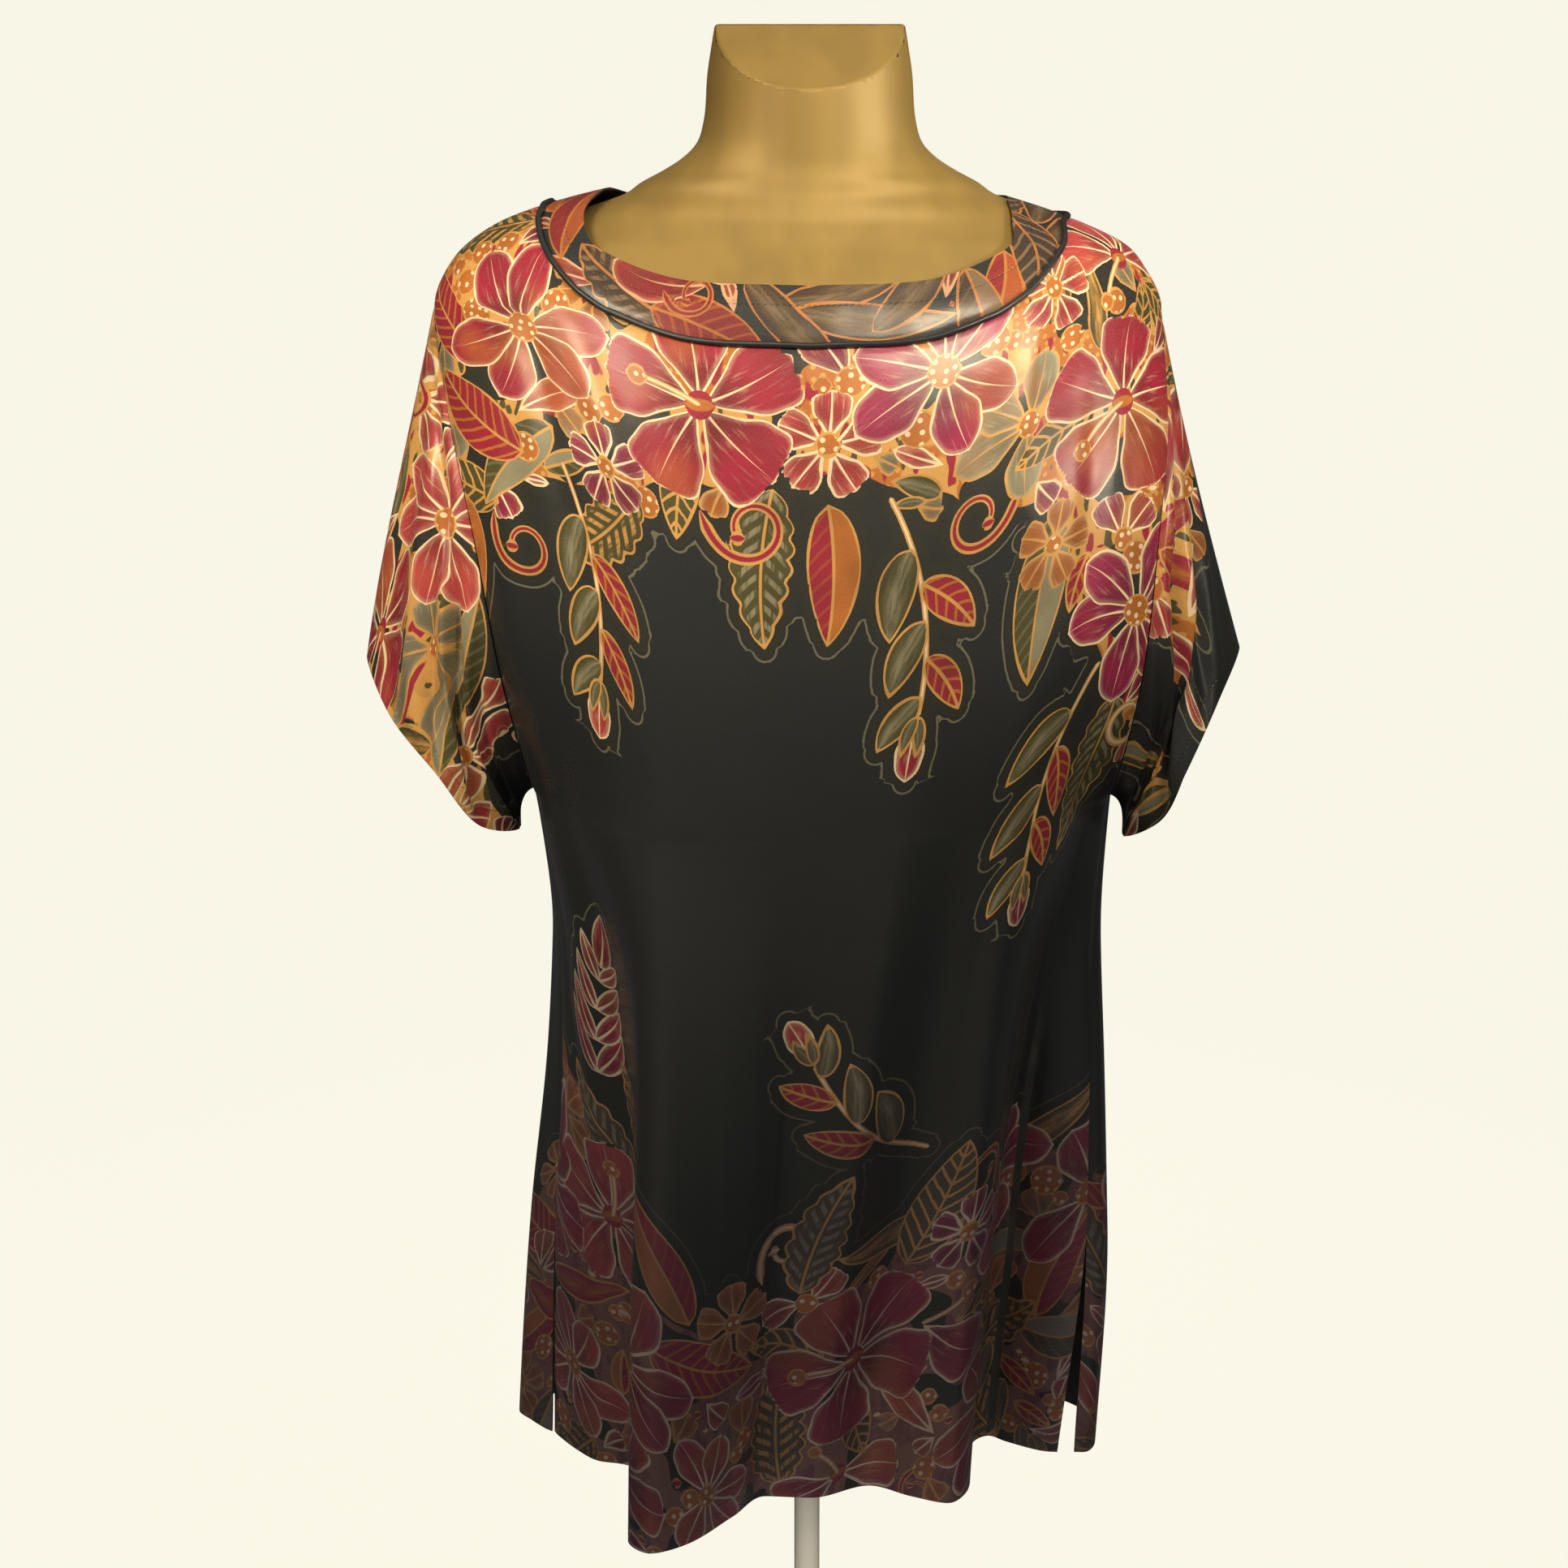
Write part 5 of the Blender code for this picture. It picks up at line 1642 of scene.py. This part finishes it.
class TUNIC_OT_form(bpy.types.Operator):
    """Make the smooth gold form with its slanted neck cut"""

    bl_idname = "object.tunic_form"
    bl_label = "Dress form"

    def execute(self, context):
        heights = np.unique(np.concatenate([np.linspace(*rings) for rings in FORM_RINGS]))
        half_width, front, back, square = (
            read(FORM, name, heights)[:, None] for name in FormSection._fields[1:]
        )
        angles = tau * np.arange(FORM_SIDES) / FORM_SIDES
        power = 2 / square
        across = np.sign(np.cos(angles)) * np.abs(np.cos(angles)) ** power
        depth = np.abs(np.sin(angles)) ** power
        reach = np.where(np.sin(angles) > 0, back, -front)
        rings = [half_width * across, reach * depth, heights[:, None] + 0 * depth]
        gold = made_once("gold shell", gold_shell)
        mesh = stacked_rings("dress_form_shell", np.stack(rings, axis=-1), gold)
        shell = bmesh.new()
        shell.from_mesh(mesh)
        run, rise = np.subtract(NECK_CUT_BACK, NECK_CUT_FRONT)
        cut = bmesh.ops.bisect_plane(
            shell,
            geom=shell.verts[:] + shell.edges[:] + shell.faces[:],
            plane_co=(0.0, *NECK_CUT_FRONT),
            plane_no=(0.0, -rise, run),
            clear_outer=True,
        )
        rim = [item for item in cut["geom_cut"] if isinstance(item, bmesh.types.BMEdge)]
        bmesh.ops.contextual_create(shell, geom=rim)
        sharp = [
            edge
            for edge in shell.edges
            if len(edge.link_faces) == 2 and edge.calc_face_angle() > radians(35.0)
        ]
        bmesh.ops.bevel(
            shell, geom=sharp, offset=RIM_BEVEL, segments=4, profile=0.5, affect="EDGES"
        )
        shell.to_mesh(mesh)
        shell.free()
        mesh.shade_smooth()
        mesh.set_sharp_from_angle(angle=radians(45.0))
        stand_in(add("dress_form_shell", mesh), "dress_form")
        return {"FINISHED"}


class TUNIC_OT_stand(bpy.types.Operator):
    """Make the pole and the round base"""

    bl_idname = "object.tunic_stand"
    bl_label = "Stand"

    def execute(self, context):
        lathe("base_plate", "base", BASE_PROFILE, 128)
        low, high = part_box("pole")
        profile = [(POLE_END_RADIUS, low.z), (POLE_RADIUS, low.z + POLE_BEVEL)]
        profile += [(POLE_RADIUS, high.z - POLE_BEVEL), (POLE_END_RADIUS, high.z)]
        lathe("pole_tube", "pole", profile, 48)
        return {"FINISHED"}


# The studio: its lamps, the paper sweep that bends up behind the form, and the camera
Lamp = namedtuple("Lamp", "name place aim size spread power colour")
LAMPS = rows(
    Lamp,
    ("key", (0.40, -1.00, 1.62), (0.07, 0.0, 0.93), 0.26, 48, 0.86, (1.0, 0.86, 0.62)),
    ("fill", (-0.72, -0.82, 1.42), (-0.21, 0.0, 0.84), 0.40, 54, 1.24, (1.0, 0.86, 0.64)),
    ("side", (0.75, -0.42, 1.12), (0.03, 0.0, 1.02), 0.25, 20, 0.17, (1.0, 0.94, 0.82)),
    ("ridge", (1.00, -0.66, 0.94), (0.17, -0.06, 0.83), 0.10, 18, 0.040, (1.0, 0.90, 0.72)),
    ("top", (0.0, 0.20, 2.05), (0.0, 0.0, 0.8), 1.00, 180, 1.0, (1.0, 0.92, 0.78)),
    ("back", (0.30, 1.60, 1.50), (0.0, 0.0, 0.70), 0.80, 120, 9.0, (1.0, 0.94, 0.86)),
    ("low", (0.10, -1.00, 0.06), (0.0, 0.0, 0.07), 0.20, 16, 0.06, (1.0, 0.96, 0.88)),
)
SWEEP_FRONT = -5.0
SWEEP_BEND = 1.6
SWEEP_RADIUS = 1.4
SWEEP_STEPS = 24
SWEEP_REACH = 6.0
CAMERA_PLACE = (-0.01455, -1.6, 0.983)
CAMERA_TILT = radians(77.3)
CAMERA_LENS = 63.0
CAMERA_SENSOR = 36.0


def studio_world(paper):
    """A world that lights softly from above and in front, and looks like the paper."""
    world = bpy.data.worlds.new("studio")
    world.use_nodes = True
    wires = Wires(world)
    soft, output = wires.nodes["Background"], wires.nodes["World Output"]
    _, back, up = wires.parts(wires.node("ShaderNodeTexCoord").outputs["Generated"])
    ahead = wires.step(wires.math("SUBTRACT", up, back), -0.3, 1.5)
    wires.feed(soft, {"Color": wires.mix(ahead, (0.05, 0.05, 0.05), (0.36, 0.345, 0.315))})
    pale = wires.node("ShaderNodeBackground", {"Color": paper})
    to_camera = wires.node("ShaderNodeLightPath").outputs["Is Camera Ray"]
    inputs = {0: to_camera, 1: soft.outputs[0], 2: pale.outputs[0]}
    wires.feed(output, {"Surface": wires.node("ShaderNodeMixShader", inputs).outputs[0]})
    return world


class TUNIC_OT_stage(bpy.types.Operator):
    """Make the pale floor and backdrop, the soft lights and the camera"""

    bl_idname = "object.tunic_stage"
    bl_label = "Floor, lights and camera"

    def execute(self, context):
        scene = context.scene
        path = [(SWEEP_FRONT, 0.0), (SWEEP_BEND, 0.0)]
        for k in range(1, SWEEP_STEPS + 1):
            angle = pi / 2 * k / SWEEP_STEPS
            path.append((SWEEP_BEND + SWEEP_RADIUS * sin(angle), SWEEP_RADIUS * (1 - cos(angle))))
        path.append((SWEEP_BEND + SWEEP_RADIUS, SWEEP_REACH))
        points = [(x, y, z) for y, z in path for x in (-SWEEP_REACH, SWEEP_REACH)]
        faces = [(2 * k, 2 * k + 1, 2 * k + 3, 2 * k + 2) for k in range(len(path) - 1)]
        paper = made_once("studio paper", studio_paper)
        sweep = add("studio_sweep", new_mesh("studio_sweep", np.array(points), faces, paper))
        sweep.visible_diffuse = False
        sweep.visible_glossy = False

        for lamp in LAMPS:
            data = bpy.data.lights.new(lamp.name, "AREA")
            data.size, data.spread = lamp.size, radians(lamp.spread)
            data.energy, data.color = lamp.power, lamp.colour
            light = add(lamp.name, data)
            light.location = lamp.place
            toward = Vector(lamp.aim) - Vector(lamp.place)
            light.rotation_euler = toward.to_track_quat("-Z", "Y").to_euler()
            light.visible_glossy = lamp.name != "back"

        scene.world = studio_world(scene.tunic_settings.paper)
        scene.view_settings.view_transform = "Standard"

        data = bpy.data.cameras.new("camera")
        data.lens, data.sensor_width = CAMERA_LENS, CAMERA_SENSOR
        camera = add("camera", data)
        camera.location = CAMERA_PLACE
        camera.rotation_euler = (CAMERA_TILT, 0.0, 0.0)
        scene.camera = camera
        return {"FINISHED"}


class TUNIC_PT_panel(bpy.types.Panel):
    """Buttons and sizes of the tunic dress"""

    bl_idname = "TUNIC_PT_panel"
    bl_label = "Tunic dress"
    bl_space_type = "VIEW_3D"
    bl_region_type = "UI"
    bl_category = "Tunic Dress"

    def draw(self, context):
        for operator in OPERATORS:
            self.layout.operator(operator.bl_idname)
        for name in TunicSettings.__annotations__:
            self.layout.prop(context.scene.tunic_settings, name)


OPERATORS = (
    TUNIC_OT_panels,
    TUNIC_OT_sleeves,
    TUNIC_OT_neck,
    TUNIC_OT_form,
    TUNIC_OT_stand,
    TUNIC_OT_stage,
)


def register():
    """Adds the settings, operators and panel to Blender."""
    for item in (TunicSettings, *OPERATORS, TUNIC_PT_panel):
        bpy.utils.register_class(item)
    bpy.types.Scene.tunic_settings = PointerProperty(type=TunicSettings)


def unregister():
    """Takes them out again."""
    del bpy.types.Scene.tunic_settings
    for item in reversed((TunicSettings, *OPERATORS, TUNIC_PT_panel)):
        bpy.utils.unregister_class(item)


def main():
    """Makes every piece in order."""
    register()
    bpy.ops.object.tunic_form()
    bpy.ops.object.tunic_panels()
    bpy.ops.object.tunic_sleeves()
    bpy.ops.object.tunic_neck()
    bpy.ops.object.tunic_stand()
    bpy.ops.object.tunic_stage()


if __name__ == "__main__":
    main()
